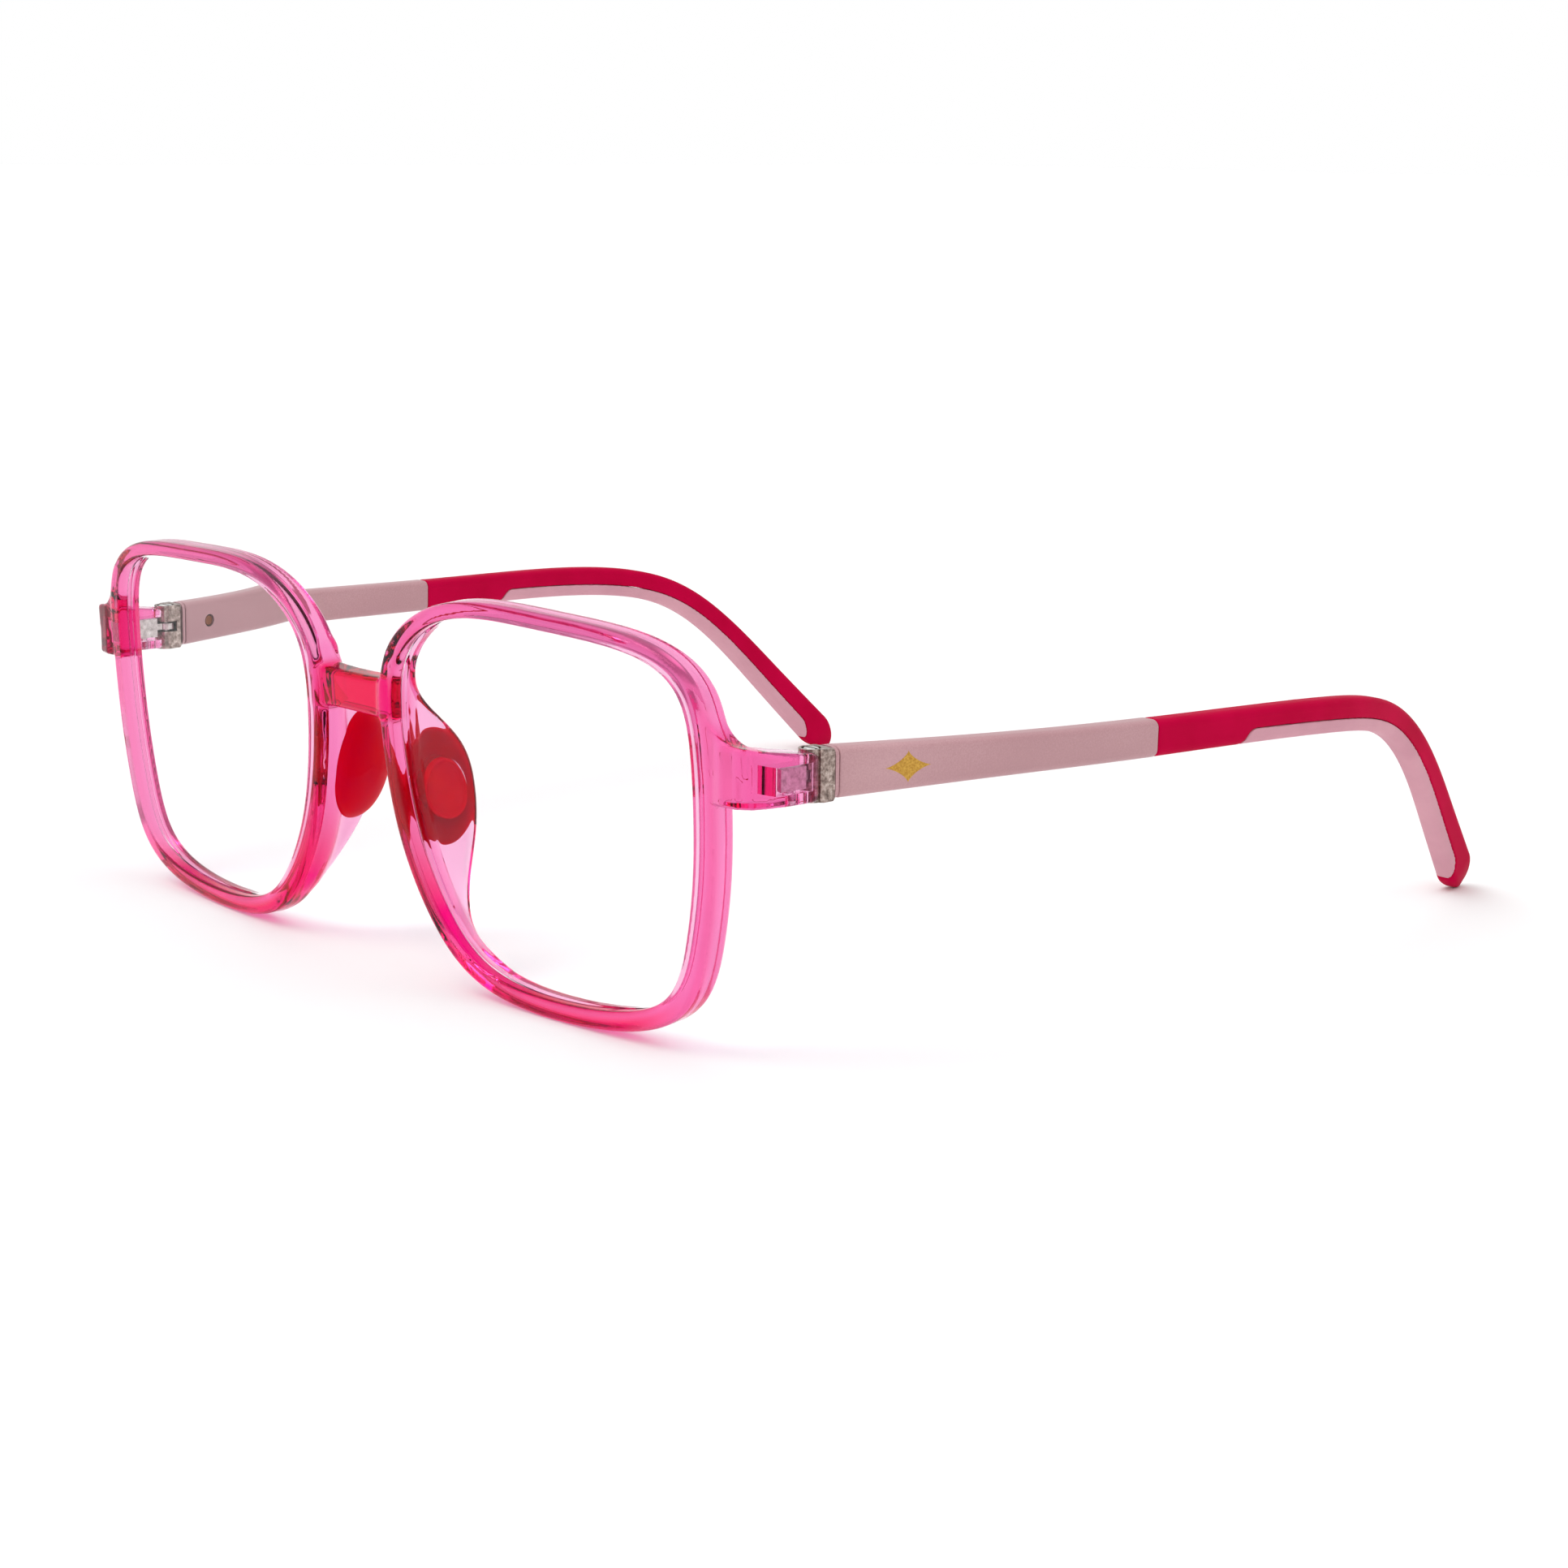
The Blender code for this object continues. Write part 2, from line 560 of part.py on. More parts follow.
def tang(side, clearance, start, end):
    """The flat tail that runs back from the cap inside the arm, or the slot for it."""
    wide = TANG_HALF_WIDE + clearance
    tall = TANG_HALF_TALL + clearance
    rings = []
    for s in np.linspace(start, end, 6):
        rings.append([PATH.point(s, a, b) for a, b in ((-wide, -tall), (wide, -tall), (wide, tall), (-wide, tall))])
    return loft("tang", rings, side)


def tang_cross(side, radius, inner, outer):
    """A round post across the arm at the tang screw's place, from one sideways offset to another."""
    turn = np.arange(20) * 2 * math.pi / 20
    rings = [[PATH.point(TANG_SCREW_AT + radius * math.cos(t), across, radius * math.sin(t)) for t in turn]
             for across in (inner, outer)]
    return loft("tang_cross", rings, side)


def hinge_cap(name, side, look):
    """The metal cap with its two knuckles, a slot for the eye and a tail into the arm."""
    cap = post(name, HINGE_X, HINGE_Y, HINGE_LOW, HINGE_HIGH, KNUCKLE_R, side, sides=28)
    apply_boolean(cap, cap_block(side), "UNION")
    apply_boolean(cap, tang(side, 0.0, CAP_BACK - 0.3 * MM, TANG_END), "UNION")
    slot_half = EYE_HALF + 0.25 * MM
    ring = post("slot", HINGE_X, HINGE_Y, HINGE_MID - slot_half, HINGE_MID + slot_half,
                EYE_R + 0.25 * MM, side, sides=24)
    apply_boolean(cap, ring, "DIFFERENCE")
    mouth = box("mouth", (HINGE_X - 4 * MM, HINGE_Y - 4 * MM, HINGE_MID - slot_half),
                (HINGE_X + SLOT_REACH, HINGE_Y + SLOT_REACH, HINGE_MID + slot_half), side)
    apply_boolean(cap, mouth, "DIFFERENCE")
    bore = post("bore", HINGE_X, HINGE_Y, 20 * MM, 40 * MM, SCREW_R + BORE_SLACK, side, sides=18)
    apply_boolean(cap, bore, "DIFFERENCE")
    seat = post("seat", HINGE_X, HINGE_Y, HINGE_HIGH - SCREW_HEAD_TALL - BORE_SLACK, 40 * MM,
                SCREW_HEAD_R + BORE_SLACK, side, sides=24)
    apply_boolean(cap, seat, "DIFFERENCE")
    apply_boolean(cap, tang_cross(side, TANG_SCREW_R + BORE_SLACK, -3 * MM, 3 * MM), "DIFFERENCE")
    return finish(cap, name, look)


def hinge_screw(name, side, look):
    """The hinge screw, its slotted head let into the upper knuckle."""
    low = HINGE_LOW + 0.1 * MM
    neck = HINGE_HIGH - SCREW_HEAD_TALL
    profile = [(low, SCREW_R * 0.8), (low + 0.2 * MM, SCREW_R), (neck, SCREW_R), (neck, SCREW_HEAD_R),
               (HINGE_HIGH - 0.1 * MM, SCREW_HEAD_R), (HINGE_HIGH, SCREW_HEAD_R * 0.85)]
    screw = post(name, HINGE_X, HINGE_Y, low, HINGE_HIGH, SCREW_R, side, 18, profile)
    slot = box("driver_slot", (HINGE_X - 2 * MM, HINGE_Y - 0.13 * MM, HINGE_HIGH - 0.22 * MM),
               (HINGE_X + 2 * MM, HINGE_Y + 0.13 * MM, HINGE_HIGH + 1 * MM), side)
    apply_boolean(screw, slot, "DIFFERENCE")
    return finish(screw, name, look)


def end_plate(name, side, look):
    """The thin plate between the cap and the arm, with a window for the tail."""
    half_tall = PATH.height(0.0) / 2
    rings = [[PATH.point(s, a, b) for a, b in rounded_section(TEMPLE_THICK / 2, half_tall)]
             for s in (PLATE_START, PLATE_START + PLATE_THICK)]
    plate = loft(name, rings, side)
    apply_boolean(plate, tang(side, BORE_SLACK, -1 * MM, 2 * MM), "DIFFERENCE")
    return finish(plate, name, look)


def tang_screw(name, side, look):
    """The small screw on the arm's inner face that holds the cap's tail."""
    screw = tang_cross(side, TANG_SCREW_R, -TEMPLE_THICK / 2 + 0.2 * MM, TANG_HALF_WIDE)
    return finish(screw, name, look)


# ---------------------------------------------------------------- temple
def rounded_section(half_wide, half_tall, corner=TEMPLE_ROUND, steps=4):
    """A rounded rectangle as (sideways, upwards) points, seen from behind, starting on its outer side."""
    points = []
    for cx, cy, start in ((1, 1, 0), (-1, 1, 90), (-1, -1, 180), (1, -1, 270)):
        for i in range(steps):
            turn = math.radians(start + 90 * i / (steps - 1))
            x = cx * (half_wide - corner) + corner * math.cos(turn)
            y = cy * (half_tall - corner) + corner * math.sin(turn)
            points.append((x, y))
    return points


def temple_sweep(name, stations, side, closing=None):
    """The temple's outer skin at the given distances, closed flat or by the given rounding."""
    rings = []
    for s in stations:
        half = PATH.height(s) / 2
        rings.append([PATH.point(s, a, b) for a, b in rounded_section(TEMPLE_THICK / 2, half)])
    if closing:
        rings += closing(rings[-1])
    return loft(name, rings, side)


def tip_closing(last):
    """Rings that draw the tip in to a blunt point, with a rounded end."""
    last = np.array(last)
    middle = last.mean(axis=0)
    ahead = PATH.ahead[-1]
    rings = []
    for part in (0.3, 0.6, 0.8, 0.93, 1.0):
        shrink = 1 - (1 - TIP_BLUNT) * (0.55 * part + 0.45 * part ** 4)
        rings.append(middle + (last - middle) * shrink + ahead * TIP_POINT * part)
    return rings


def wire_tube(name, side, radius, start, end, sides=8):
    turn = np.arange(sides) * 2 * math.pi / sides
    count = max(int((end - start) / (3.4 * MM)), 3)
    rings = [[PATH.point(s, radius * math.cos(t), WIRE_RAISE + radius * math.sin(t)) for t in turn]
             for s in np.linspace(start, end, count)]
    return loft(name, rings, side)


def temple_arm(name, side, look):
    arm = temple_sweep(name, np.linspace(ARM_START, ARM_END, 11), side)
    apply_boolean(arm, tang(side, BORE_SLACK, -1 * MM, TANG_END + GAP), "DIFFERENCE")
    hole = tang_cross(side, TANG_SCREW_R + BORE_SLACK, -3 * MM, TANG_HALF_WIDE)
    apply_boolean(arm, hole, "DIFFERENCE")
    bore = wire_tube("bore", side, WIRE_R + BORE_SLACK, WIRE_START - GAP, ARM_END + 2 * MM)
    apply_boolean(arm, bore, "DIFFERENCE")
    return finish(arm, name, look)


def inlay_top(s):
    """Height of the inlay's upper edge over the centre line: it dives below the temple at both ends."""
    rise = smoothstep(s, *INLAY_START)
    fall = 1 - smoothstep(s, *INLAY_END)
    floor = -3.2 * MM
    level = np.interp(s, (INLAY_START[1], INLAY_END[0]), INLAY_TOP)
    return floor + (level - floor) * np.minimum(rise, fall)


def inlay_block(side, clearance):
    """Everything below the inlay's upper edge, over the inlay's length."""
    stations = np.concatenate([np.linspace(INLAY_START[0] - 1 * MM, INLAY_START[1] + 1 * MM, 7),
                               np.linspace(INLAY_START[1] + 3 * MM, INLAY_END[0] - 2 * MM, 18),
                               np.linspace(INLAY_END[0], INLAY_END[1] + 1 * MM, 7)])
    rings = []
    for s in stations:
        around = inlay_top(s + clearance * np.array([-1.0, 0.0, 1.0]))
        top = around.max() + clearance
        rings.append([PATH.point(s, a, b) for a, b in
                      ((-2.4 * MM, -4.2 * MM), (2.4 * MM, -4.2 * MM), (2.4 * MM, top), (-2.4 * MM, top))])
    return loft("inlay_block", rings, side)


def sleeve_stations():
    return np.concatenate([np.linspace(ARM_END + GAP, 80 * MM, 8), np.linspace(83 * MM, PATH.length, 18)])


def tip_sleeve(name, side, look):
    sleeve = temple_sweep(name, sleeve_stations(), side, tip_closing)
    apply_boolean(sleeve, inlay_block(side, INLAY_CLEAR), "DIFFERENCE")
    bore = wire_tube("bore", side, WIRE_R + BORE_SLACK, ARM_END - 2 * MM, WIRE_END + GAP)
    apply_boolean(sleeve, bore, "DIFFERENCE")
    return finish(sleeve, name, look)


def grip_inlay(name, side, look):
    inlay = temple_sweep(name, sleeve_stations(), side, tip_closing)
    apply_boolean(inlay, inlay_block(side, 0.0), "INTERSECT")
    return finish(inlay, name, look)


def core_wire(name, side, look):
    return finish(wire_tube(name, side, WIRE_R, WIRE_START, WIRE_END), name, look)


# ---------------------------------------------------------------- the glasses
def build():
    for thing in list(bpy.data.objects):
        bpy.data.objects.remove(thing)
    pink = material("clear_pink_nylon", (0.90, 0.16, 0.42), 0.12, alpha=0.6)
    clear = material("clear_lens", (0.97, 0.98, 1.0), 0.03, alpha=0.15)
    silicone = material("red_silicone", (0.48, 0.0, 0.02), 0.45)
    metal = material("cast_grey_metal", (0.55, 0.53, 0.52), 0.38, metallic=1.0)
    steel = material("steel", (0.66, 0.65, 0.64), 0.3, metallic=1.0)
    bronze = material("bronze_screw", (0.36, 0.19, 0.12), 0.4, metallic=1.0)
    pale = material("pale_pink_nylon", (0.55, 0.32, 0.33), 0.5)
    crimson = material("crimson_rubber", (0.46, 0.0, 0.045), 0.55)
    soft = material("pale_pink_rubber", (0.62, 0.36, 0.39), 0.6)

    front_frame(pink)
    on_axis = []
    for word, side in SIDES:
        lens(f"lens_{word}", side, clear)
        nose_pad(f"nose_pad_{word}", side, silicone)
        hinge_tongue(f"hinge_tongue_{word}", side, metal)
        tongue_pin(f"tongue_pin_{word}", side, steel)
        hinge_screw(f"hinge_screw_{word}", side, steel)
        on_axis += [(hinge_cap(f"hinge_cap_{word}", side, metal), side),
                    (end_plate(f"end_plate_{word}", side, steel), side),
                    (tang_screw(f"tang_screw_{word}", side, bronze), side),
                    (temple_arm(f"temple_arm_{word}", side, pale), side),
                    (core_wire(f"core_wire_{word}", side, steel), side),
                    (tip_sleeve(f"tip_sleeve_{word}", side, crimson), side),
                    (grip_inlay(f"grip_inlay_{word}", side, soft), side)]
    for thing, side in on_axis:
        move_origin(thing, HINGE_X * side, HINGE_Y - MIDDLE_Y, HINGE_MID - LOWEST_Z)


build()
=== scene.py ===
"""Folding glasses with a clear pink front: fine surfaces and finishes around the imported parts."""
import json
import math

import bmesh
import bpy
import numpy as np
from mathutils import Matrix, Vector


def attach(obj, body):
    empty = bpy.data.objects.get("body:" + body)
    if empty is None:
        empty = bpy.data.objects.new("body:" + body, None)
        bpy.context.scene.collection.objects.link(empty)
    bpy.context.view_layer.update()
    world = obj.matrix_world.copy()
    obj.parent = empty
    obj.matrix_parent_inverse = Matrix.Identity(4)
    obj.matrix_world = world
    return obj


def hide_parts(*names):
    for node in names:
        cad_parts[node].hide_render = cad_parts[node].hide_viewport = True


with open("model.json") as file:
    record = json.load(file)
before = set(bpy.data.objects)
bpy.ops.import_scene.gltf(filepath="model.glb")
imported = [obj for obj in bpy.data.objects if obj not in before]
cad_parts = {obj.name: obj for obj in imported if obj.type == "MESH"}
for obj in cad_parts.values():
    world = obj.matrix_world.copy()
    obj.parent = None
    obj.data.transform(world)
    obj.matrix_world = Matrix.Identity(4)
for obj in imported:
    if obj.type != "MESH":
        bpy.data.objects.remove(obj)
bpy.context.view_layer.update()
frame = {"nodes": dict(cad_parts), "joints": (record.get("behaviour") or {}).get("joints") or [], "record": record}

MM = 0.001
SIDES = (("left", 1.0), ("right", -1.0))

# ---------------------------------------------------------------- dimensions
# Drawn in the parts' own drawing frame: x from the middle to the left, y from front to back, z up. The
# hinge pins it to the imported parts, and ORIGIN moves what is drawn to where they lie.
HINGE = np.array([62.6, 8.4, 30.45]) * MM
ORIGIN = HINGE - np.array(next(j for j in frame["joints"] if j["child"] == "temple_left")["pos_m"])

# The front is drawn flat, in u across, h up and d back from its front face, then bowed and leaned.
FRONT_Y, FRONT_Z = -5.72 * MM, 22.1 * MM
LEAN = math.radians(3.25)
BOW = 1.1
LENS_CENTRE = 35.4 * MM
# The lens opening, as (u, h).
OPENING = np.array([(56.3, 3.0), (56.2, 11.0), (54.3, 17.0), (47.5, 20.1), (35.4, 21.0), (24.0, 21.1),
                    (15.6, 19.2), (9.9, 14.2), (8.8, 6.5), (9.9, -1.5), (12.6, -9.0), (18.0, -16.2),
                    (25.5, -19.7), (36.0, -20.3), (46.0, -19.1), (52.2, -15.7), (54.7, -9.5),
                    (55.8, -3.5)]) * MM
RIM_SIDE, RIM_TOP, RIM_LOW = 2.9 * MM, 1.8 * MM, 2.3 * MM
RIM_DEPTH = 3.6 * MM
LENS_MID = 1.8 * MM
GROOVE_DEEP, GROOVE_HALF_WIDE = 0.38 * MM, 0.62 * MM
BAR_REACH, BAR_AT, BAR_HALF_TALL = 7.8 * MM, 9.7 * MM, 2.3 * MM
BAR_FLARE, BAR_FLARE_AT = 0.4 * MM, 7.6 * MM
BAR_MID, BAR_HALF_DEEP = 1.87 * MM, 1.6 * MM
# The wing beside the nose, as (h, u of its root, d of its free edge).
WING = np.array([(13.2, 7.7, 3.6), (9.0, 7.6, 5.4), (4.0, 7.6, 9.2), (-1.5, 8.2, 10.3), (-6.5, 9.8, 9.1),
                 (-11.0, 11.8, 6.9), (-15.0, 14.6, 4.9), (-17.6, 17.8, 4.0), (-19.4, 22.5, 3.2)]) * MM
WING_ROOT, WING_THICK, WING_SPLAY = 2.75 * MM, 1.8 * MM, 0.25
# The end lug's plan, as (x, y), and the height of its lower and upper face at its front and its back.
LUG = np.array([(57.7, -1.9), (60.6, -2.3), (62.6, -1.9), (63.9, -0.7), (64.5, 1.2), (64.8, 4.0),
                (64.8, 7.2), (64.3, 7.95), (60.9, 7.95), (60.7, 3.6), (59.6, 1.6), (57.7, 1.2)]) * MM
LUG_FRONT, LUG_BACK = (27.9 * MM, 34.3 * MM), (27.8 * MM, 32.75 * MM)
LUG_FROM, LUG_LONG = -2.3 * MM, 10.25 * MM
GUSSET_X, GUSSET_DEEP, GUSSET_REACH = 63.4 * MM, 3.3 * MM, 4.4 * MM
POCKET_LOW = (60.0 * MM, 2.4 * MM, HINGE[2] - 1.5 * MM)
POCKET_HIGH = (63.8 * MM, 7.4 * MM, HINGE[2] + 1.5 * MM)
PIN_AT, PIN_HOLE = (62.5 * MM, 5.1 * MM), 0.7 * MM
KNUCKLE_ROOM, SWING_RADIUS = 1.6 * MM, 2.35 * MM
CUT_LOW, CUT_HIGH = 20 * MM, 40 * MM

# The nose pad, by (y, z) of its middle; wide and tall are half sizes.
PAD_AT = np.array([0.75, 21.35]) * MM
PAD_WIDE, PAD_TALL, PAD_BASE, PAD_THICK = 4.3 * MM, 6.8 * MM, 0.95 * MM, 2.45 * MM
PLUG_WIDE, PLUG_TALL, PLUG_END = 2.55 * MM, 3.45 * MM, -1.25 * MM
PAD_HOLE_WIDE, PAD_HOLE_TALL = 2.68 * MM, 3.58 * MM

# The temple's outer face, as (y, z, x) from front to back, and its height at the same places.
TEMPLE = np.array([(10.45, 30.45, 64.5), (30.5, 30.2, 68.4), (50.5, 29.65, 70.2), (69.0, 29.3, 71.4),
                   (84.9, 28.65, 71.7), (98.0, 26.2, 69.7), (107.75, 19.7, 67.5), (115.7, 11.3, 65.2),
                   (123.95, 2.24, 62.65)]) * MM
TEMPLE_TALL = np.array([5.5, 4.6, 4.3, 4.15, 4.15, 4.1, 4.2, 4.6, 5.1]) * MM
TEMPLE_THICK = 3.0 * MM
ARM_START, ARM_END = 0.35 * MM, 43.8 * MM
TIP_TAPER, TIP_POINT, TIP_CORNER = 0.9 * MM, 4.2 * MM, 0.95 * MM
INLAY_START = (56.0 * MM, 59.7 * MM)
INLAY_END = (120.6 * MM, 125.2 * MM)
INLAY_TOP = (-0.3 * MM, -0.75 * MM)
INLAY_BELOW = 3.2 * MM
TANG_SCREW_AT, TANG_SCREW_HOLE = 4.5 * MM, 0.8 * MM
STAR_AT, STAR_LONG, STAR_TALL = 8.6 * MM, 2.9 * MM, 1.7 * MM

CAMERA_ANGLES = (47.692, 11.897, 0.556)
CAMERA_LENS = 71.52
CAMERA_AT = (0.293795, -0.265694, 0.096047)


# ---------------------------------------------------------------- curves
def cubic_slopes(points, closed):
    """Slopes of the smoothest cubic: each slope plus its neighbours' solves three times the difference."""
    count = len(points)
    matrix = 4 * np.eye(count) + np.roll(np.eye(count), 1, 1) + np.roll(np.eye(count), -1, 1)
    right = 3 * (np.roll(points, -1, 0) - np.roll(points, 1, 0))
    if not closed:
        matrix[0], matrix[-1] = 0, 0
        matrix[0, :2], matrix[-1, -2:] = (2, 1), (1, 2)
        right[0], right[-1] = 3 * (points[1] - points[0]), 3 * (points[-1] - points[-2])
    return np.linalg.solve(matrix, right)


def spline(points, at, closed=False):
    """Hermite cubic: value and slope at both ends of each span, blended by the cubic weights."""
    points = np.asarray(points, dtype=float)
    slopes = cubic_slopes(points, closed)
    low = np.floor(at).astype(int)
    low = low if closed else np.clip(low, 0, len(points) - 2)
    t = (at - low)[:, None]
    a, b = low % len(points), (low + 1) % len(points)
    return ((2 * t ** 3 - 3 * t ** 2 + 1) * points[a] + (t ** 3 - 2 * t ** 2 + t) * slopes[a]
            + (3 * t ** 2 - 2 * t ** 3) * points[b] + (t ** 3 - t ** 2) * slopes[b])


def smoothstep(value, low, high):
    """0 below low, 1 above high, and three t squared less two t cubed between them."""
    t = np.clip((value - low) / (high - low), 0.0, 1.0)
    return t * t * (3 - 2 * t)


def front_point(x, height, depth):
    """A point of the front: swept back by BOW times x squared, then leaned; depth runs along the normal."""
    x, height, depth = np.broadcast_arrays(*(np.asarray(v, dtype=float) for v in (x, height, depth)))
    back = BOW * x * x + depth
    y = FRONT_Y - height * math.sin(LEAN) + back * math.cos(LEAN)
    z = FRONT_Z + height * math.cos(LEAN) + back * math.sin(LEAN)
    return np.stack([x - depth * 2 * BOW * x, y, z], axis=-1)


def opening(count):
    """The lens opening as a closed cubic, with its outward unit normals."""
    at = np.arange(count) * len(OPENING) / count
    here = spline(OPENING, at, True)
    run = spline(OPENING, at + 0.01, True) - spline(OPENING, at - 0.01, True)
    normal = np.stack([run[:, 1], -run[:, 0]], axis=1)
    normal /= np.linalg.norm(normal, axis=1)[:, None]
    return here, normal * np.sign(((here - [LENS_CENTRE, 0.0]) * normal).sum(axis=1))[:, None]


# ---------------------------------------------------------------- meshes
def in_scene(name, data):
    """A new object of the given data, in the scene."""
    thing = bpy.data.objects.new(name, data)
    bpy.context.scene.collection.objects.link(thing)
    return thing


def new_piece(name, points, faces, side=1.0):
    """A mesh piece from an (n, 3) array of drawn points, mirrored for side -1 and put in its place."""
    mesh = bpy.data.meshes.new(name)
    mesh.from_pydata((points * [side, 1.0, 1.0] - ORIGIN).tolist(), [], faces)
    shell = bmesh.new()
    shell.from_mesh(mesh)
    bmesh.ops.recalc_face_normals(shell, faces=shell.faces)
    shell.to_mesh(mesh)
    shell.free()
    return in_scene(name, mesh)


def skin(name, rings, side=1.0, looped=False):
    """Skin of a grid of closed rings: neighbouring rings are joined by quads, and open ends are capped."""
    rings = np.asarray(rings, dtype=float)
    rows, cols = rings.shape[:2]
    i, j = np.meshgrid(np.arange(rows if looped else rows - 1), np.arange(cols), indexing="ij")
    after, k = (i + 1) % rows, (j + 1) % cols
    quads = np.stack([i * cols + j, i * cols + k, after * cols + k, after * cols + j], axis=-1)
    faces = quads.reshape(-1, 4).tolist()
    if not looped:
        faces += [list(range(cols)), list(range((rows - 1) * cols, rows * cols))]
    return new_piece(name, rings.reshape(-1, 3), faces, side)


def applied(piece):
    """Replace the piece's mesh by what its modifiers make of it."""
    bpy.context.view_layer.update()
    depsgraph = bpy.context.evaluated_depsgraph_get()
    result = bpy.data.meshes.new_from_object(piece.evaluated_get(depsgraph))
    piece.modifiers.clear()
    old = piece.data
    piece.data = result
    bpy.data.meshes.remove(old)
    return piece


def combine(target, tool, operation):
    """Cut the tool out of the target, or keep only what lies in both, and drop the tool."""
    step = target.modifiers.new("combine", "BOOLEAN")
    step.operation, step.solver, step.object = operation, "EXACT", tool
    applied(target)
    bpy.data.objects.remove(tool)
    return target


def relax(mesh, rounds, shrink=0.5, swell=-0.52):
    """Smooth a mesh: each point moves towards the mean of its neighbours, then back out, over and over."""
    count = len(mesh.vertices)
    points = np.zeros(count * 3)
    mesh.vertices.foreach_get("co", points)
    points = points.reshape(-1, 3)
    ends = np.zeros(len(mesh.edges) * 2, dtype=np.int64)
    mesh.edges.foreach_get("vertices", ends)
    a, b = ends.reshape(-1, 2).T
    share = np.maximum(np.bincount(a, minlength=count) + np.bincount(b, minlength=count), 1)
    for amount in (shrink, swell) * rounds:
        total = np.stack([np.bincount(a, points[b, i], count) + np.bincount(b, points[a, i], count)
                          for i in range(3)], axis=1)
        points = points + amount * (total / share[:, None] - points)
    mesh.vertices.foreach_set("co", points.reshape(-1))
    mesh.update()


def fused(piece, voxel, rounds):
    """Remesh overlapping shells into one even skin and relax it, which rounds its edges a little."""
    step = piece.modifiers.new("fuse", "REMESH")
    step.mode, step.voxel_size = "VOXEL", voxel
    applied(piece)
    relax(piece.data, rounds)
    return piece


def shade(piece, sharp_degrees):
    """Smooth shading, but for edges that turn by more than the given angle."""
    piece.data.shade_smooth()
    piece.data.set_sharp_from_angle(angle=math.radians(sharp_degrees))
    return piece


def round_box(low, high, corner, side=1.0, steps=5):
    """Upright box whose four upright edges are quarter rounds."""
    plan = []
    for cx, cy, start in ((1, 1, 0), (0, 1, 90), (0, 0, 180), (1, 0, 270)):
        turn = np.radians(start + np.linspace(0, 90, steps))
        x = (high[0] - corner if cx else low[0] + corner) + corner * np.cos(turn)
        y = (high[1] - corner if cy else low[1] + corner) + corner * np.sin(turn)
        plan.append(np.stack([x, y], axis=1))
    plan = np.concatenate(plan)
    rings = [np.column_stack([plan, np.full(len(plan), z)]) for z in (low[2], high[2])]
    return skin("cutter", rings, side)


def post(x, y, low, high, radius, side=1.0, sides=48):
    """Upright round post: a circle at each end, so many sides to it."""
    turn = np.arange(sides) * 2 * math.pi / sides
    rings = [np.stack([x + radius * np.cos(turn), y + radius * np.sin(turn), np.full(sides, z)], axis=1)
             for z in (low, high)]
    return skin("cutter", rings, side)


# ---------------------------------------------------------------- front moulding
# The front is one moulding, so it is worked out as one field of distances to its skin: the rims, bridge,
# wings and lugs are each a distance, and they are blended where they meet, as a mould's fillets do.
CELL = 0.27 * MM
FIELD_LOW = np.array([-67.23, -23.9, -1.3]) * MM
FIELD_HIGH = np.array([67.23, 24.1, 11.3]) * MM


def blend(a, b, reach):
    """Union of two distances: the smaller one, less a parabola where they differ by under reach."""
    part = np.clip(0.5 + 0.5 * (b - a) / reach, 0.0, 1.0)
    return b + (a - b) * part - reach * part * (1 - part)


def rounded(soft, *walls):
    """Distance to a box whose walls are at the given distances, its edges rounded by soft."""
    q = np.stack(np.broadcast_arrays(*walls)) + soft
    return np.minimum(q.max(axis=0), 0.0) + np.sqrt((np.maximum(q, 0.0) ** 2).sum(axis=0)) - soft


def nearest_rim(u, h):
    """Point, normal and rim width at the closest place of the opening: the nearest of many samples, then
    steps along the curve."""
    count, place = 720, np.stack([u, h], axis=1)
    samples = spline(OPENING, np.arange(count) * len(OPENING) / count, True)
    chunks = np.array_split(place, max(1, len(place) // 4000))
    at = np.concatenate([((chunk[:, None] - samples) ** 2).sum(axis=2).argmin(axis=1) for chunk in chunks])
    at = at * len(OPENING) / count
    for _ in range(4):
        here = spline(OPENING, at, True)
        run = (spline(OPENING, at + 0.01, True) - spline(OPENING, at - 0.01, True)) / 0.02
        at = at + np.clip(((place - here) * run).sum(axis=1) / (run ** 2).sum(axis=1), -0.02, 0.02)
    normal = np.stack([run[:, 1], -run[:, 0]], axis=1) / np.linalg.norm(run, axis=1)[:, None]
    normal *= np.sign(((here - [LENS_CENTRE, 0.0]) * normal).sum(axis=1))[:, None]
    upright = RIM_LOW + (RIM_TOP - RIM_LOW) * smoothstep(normal[:, 1], -0.35, 0.35)
    return here, normal, upright + (RIM_SIDE - upright) * normal[:, 0] ** 2


def outline_distance(outline, x, y):
    """Signed distance to a closed outline: the nearest edge, negative where the winding says inside."""
    nearest, inside = np.full(x.shape, np.inf), np.zeros(x.shape, dtype=bool)
    for (ax, ay), (bx, by) in zip(outline, np.roll(outline, -1, axis=0)):
        along = ((x - ax) * (bx - ax) + (y - ay) * (by - ay)) / ((bx - ax) ** 2 + (by - ay) ** 2)
        along = np.clip(along, 0, 1)
        nearest = np.minimum(nearest, np.hypot(x - ax - along * (bx - ax), y - ay - along * (by - ay)))
        crosses = (ay > y) != (by > y)
        inside ^= crosses & (x < ax + (y - ay) * (bx - ax) / (by - ay if by != ay else 1.0))
    return np.where(inside, -nearest, nearest)


WING_FINE = spline(WING, np.linspace(0, len(WING) - 1, 401))[::-1]


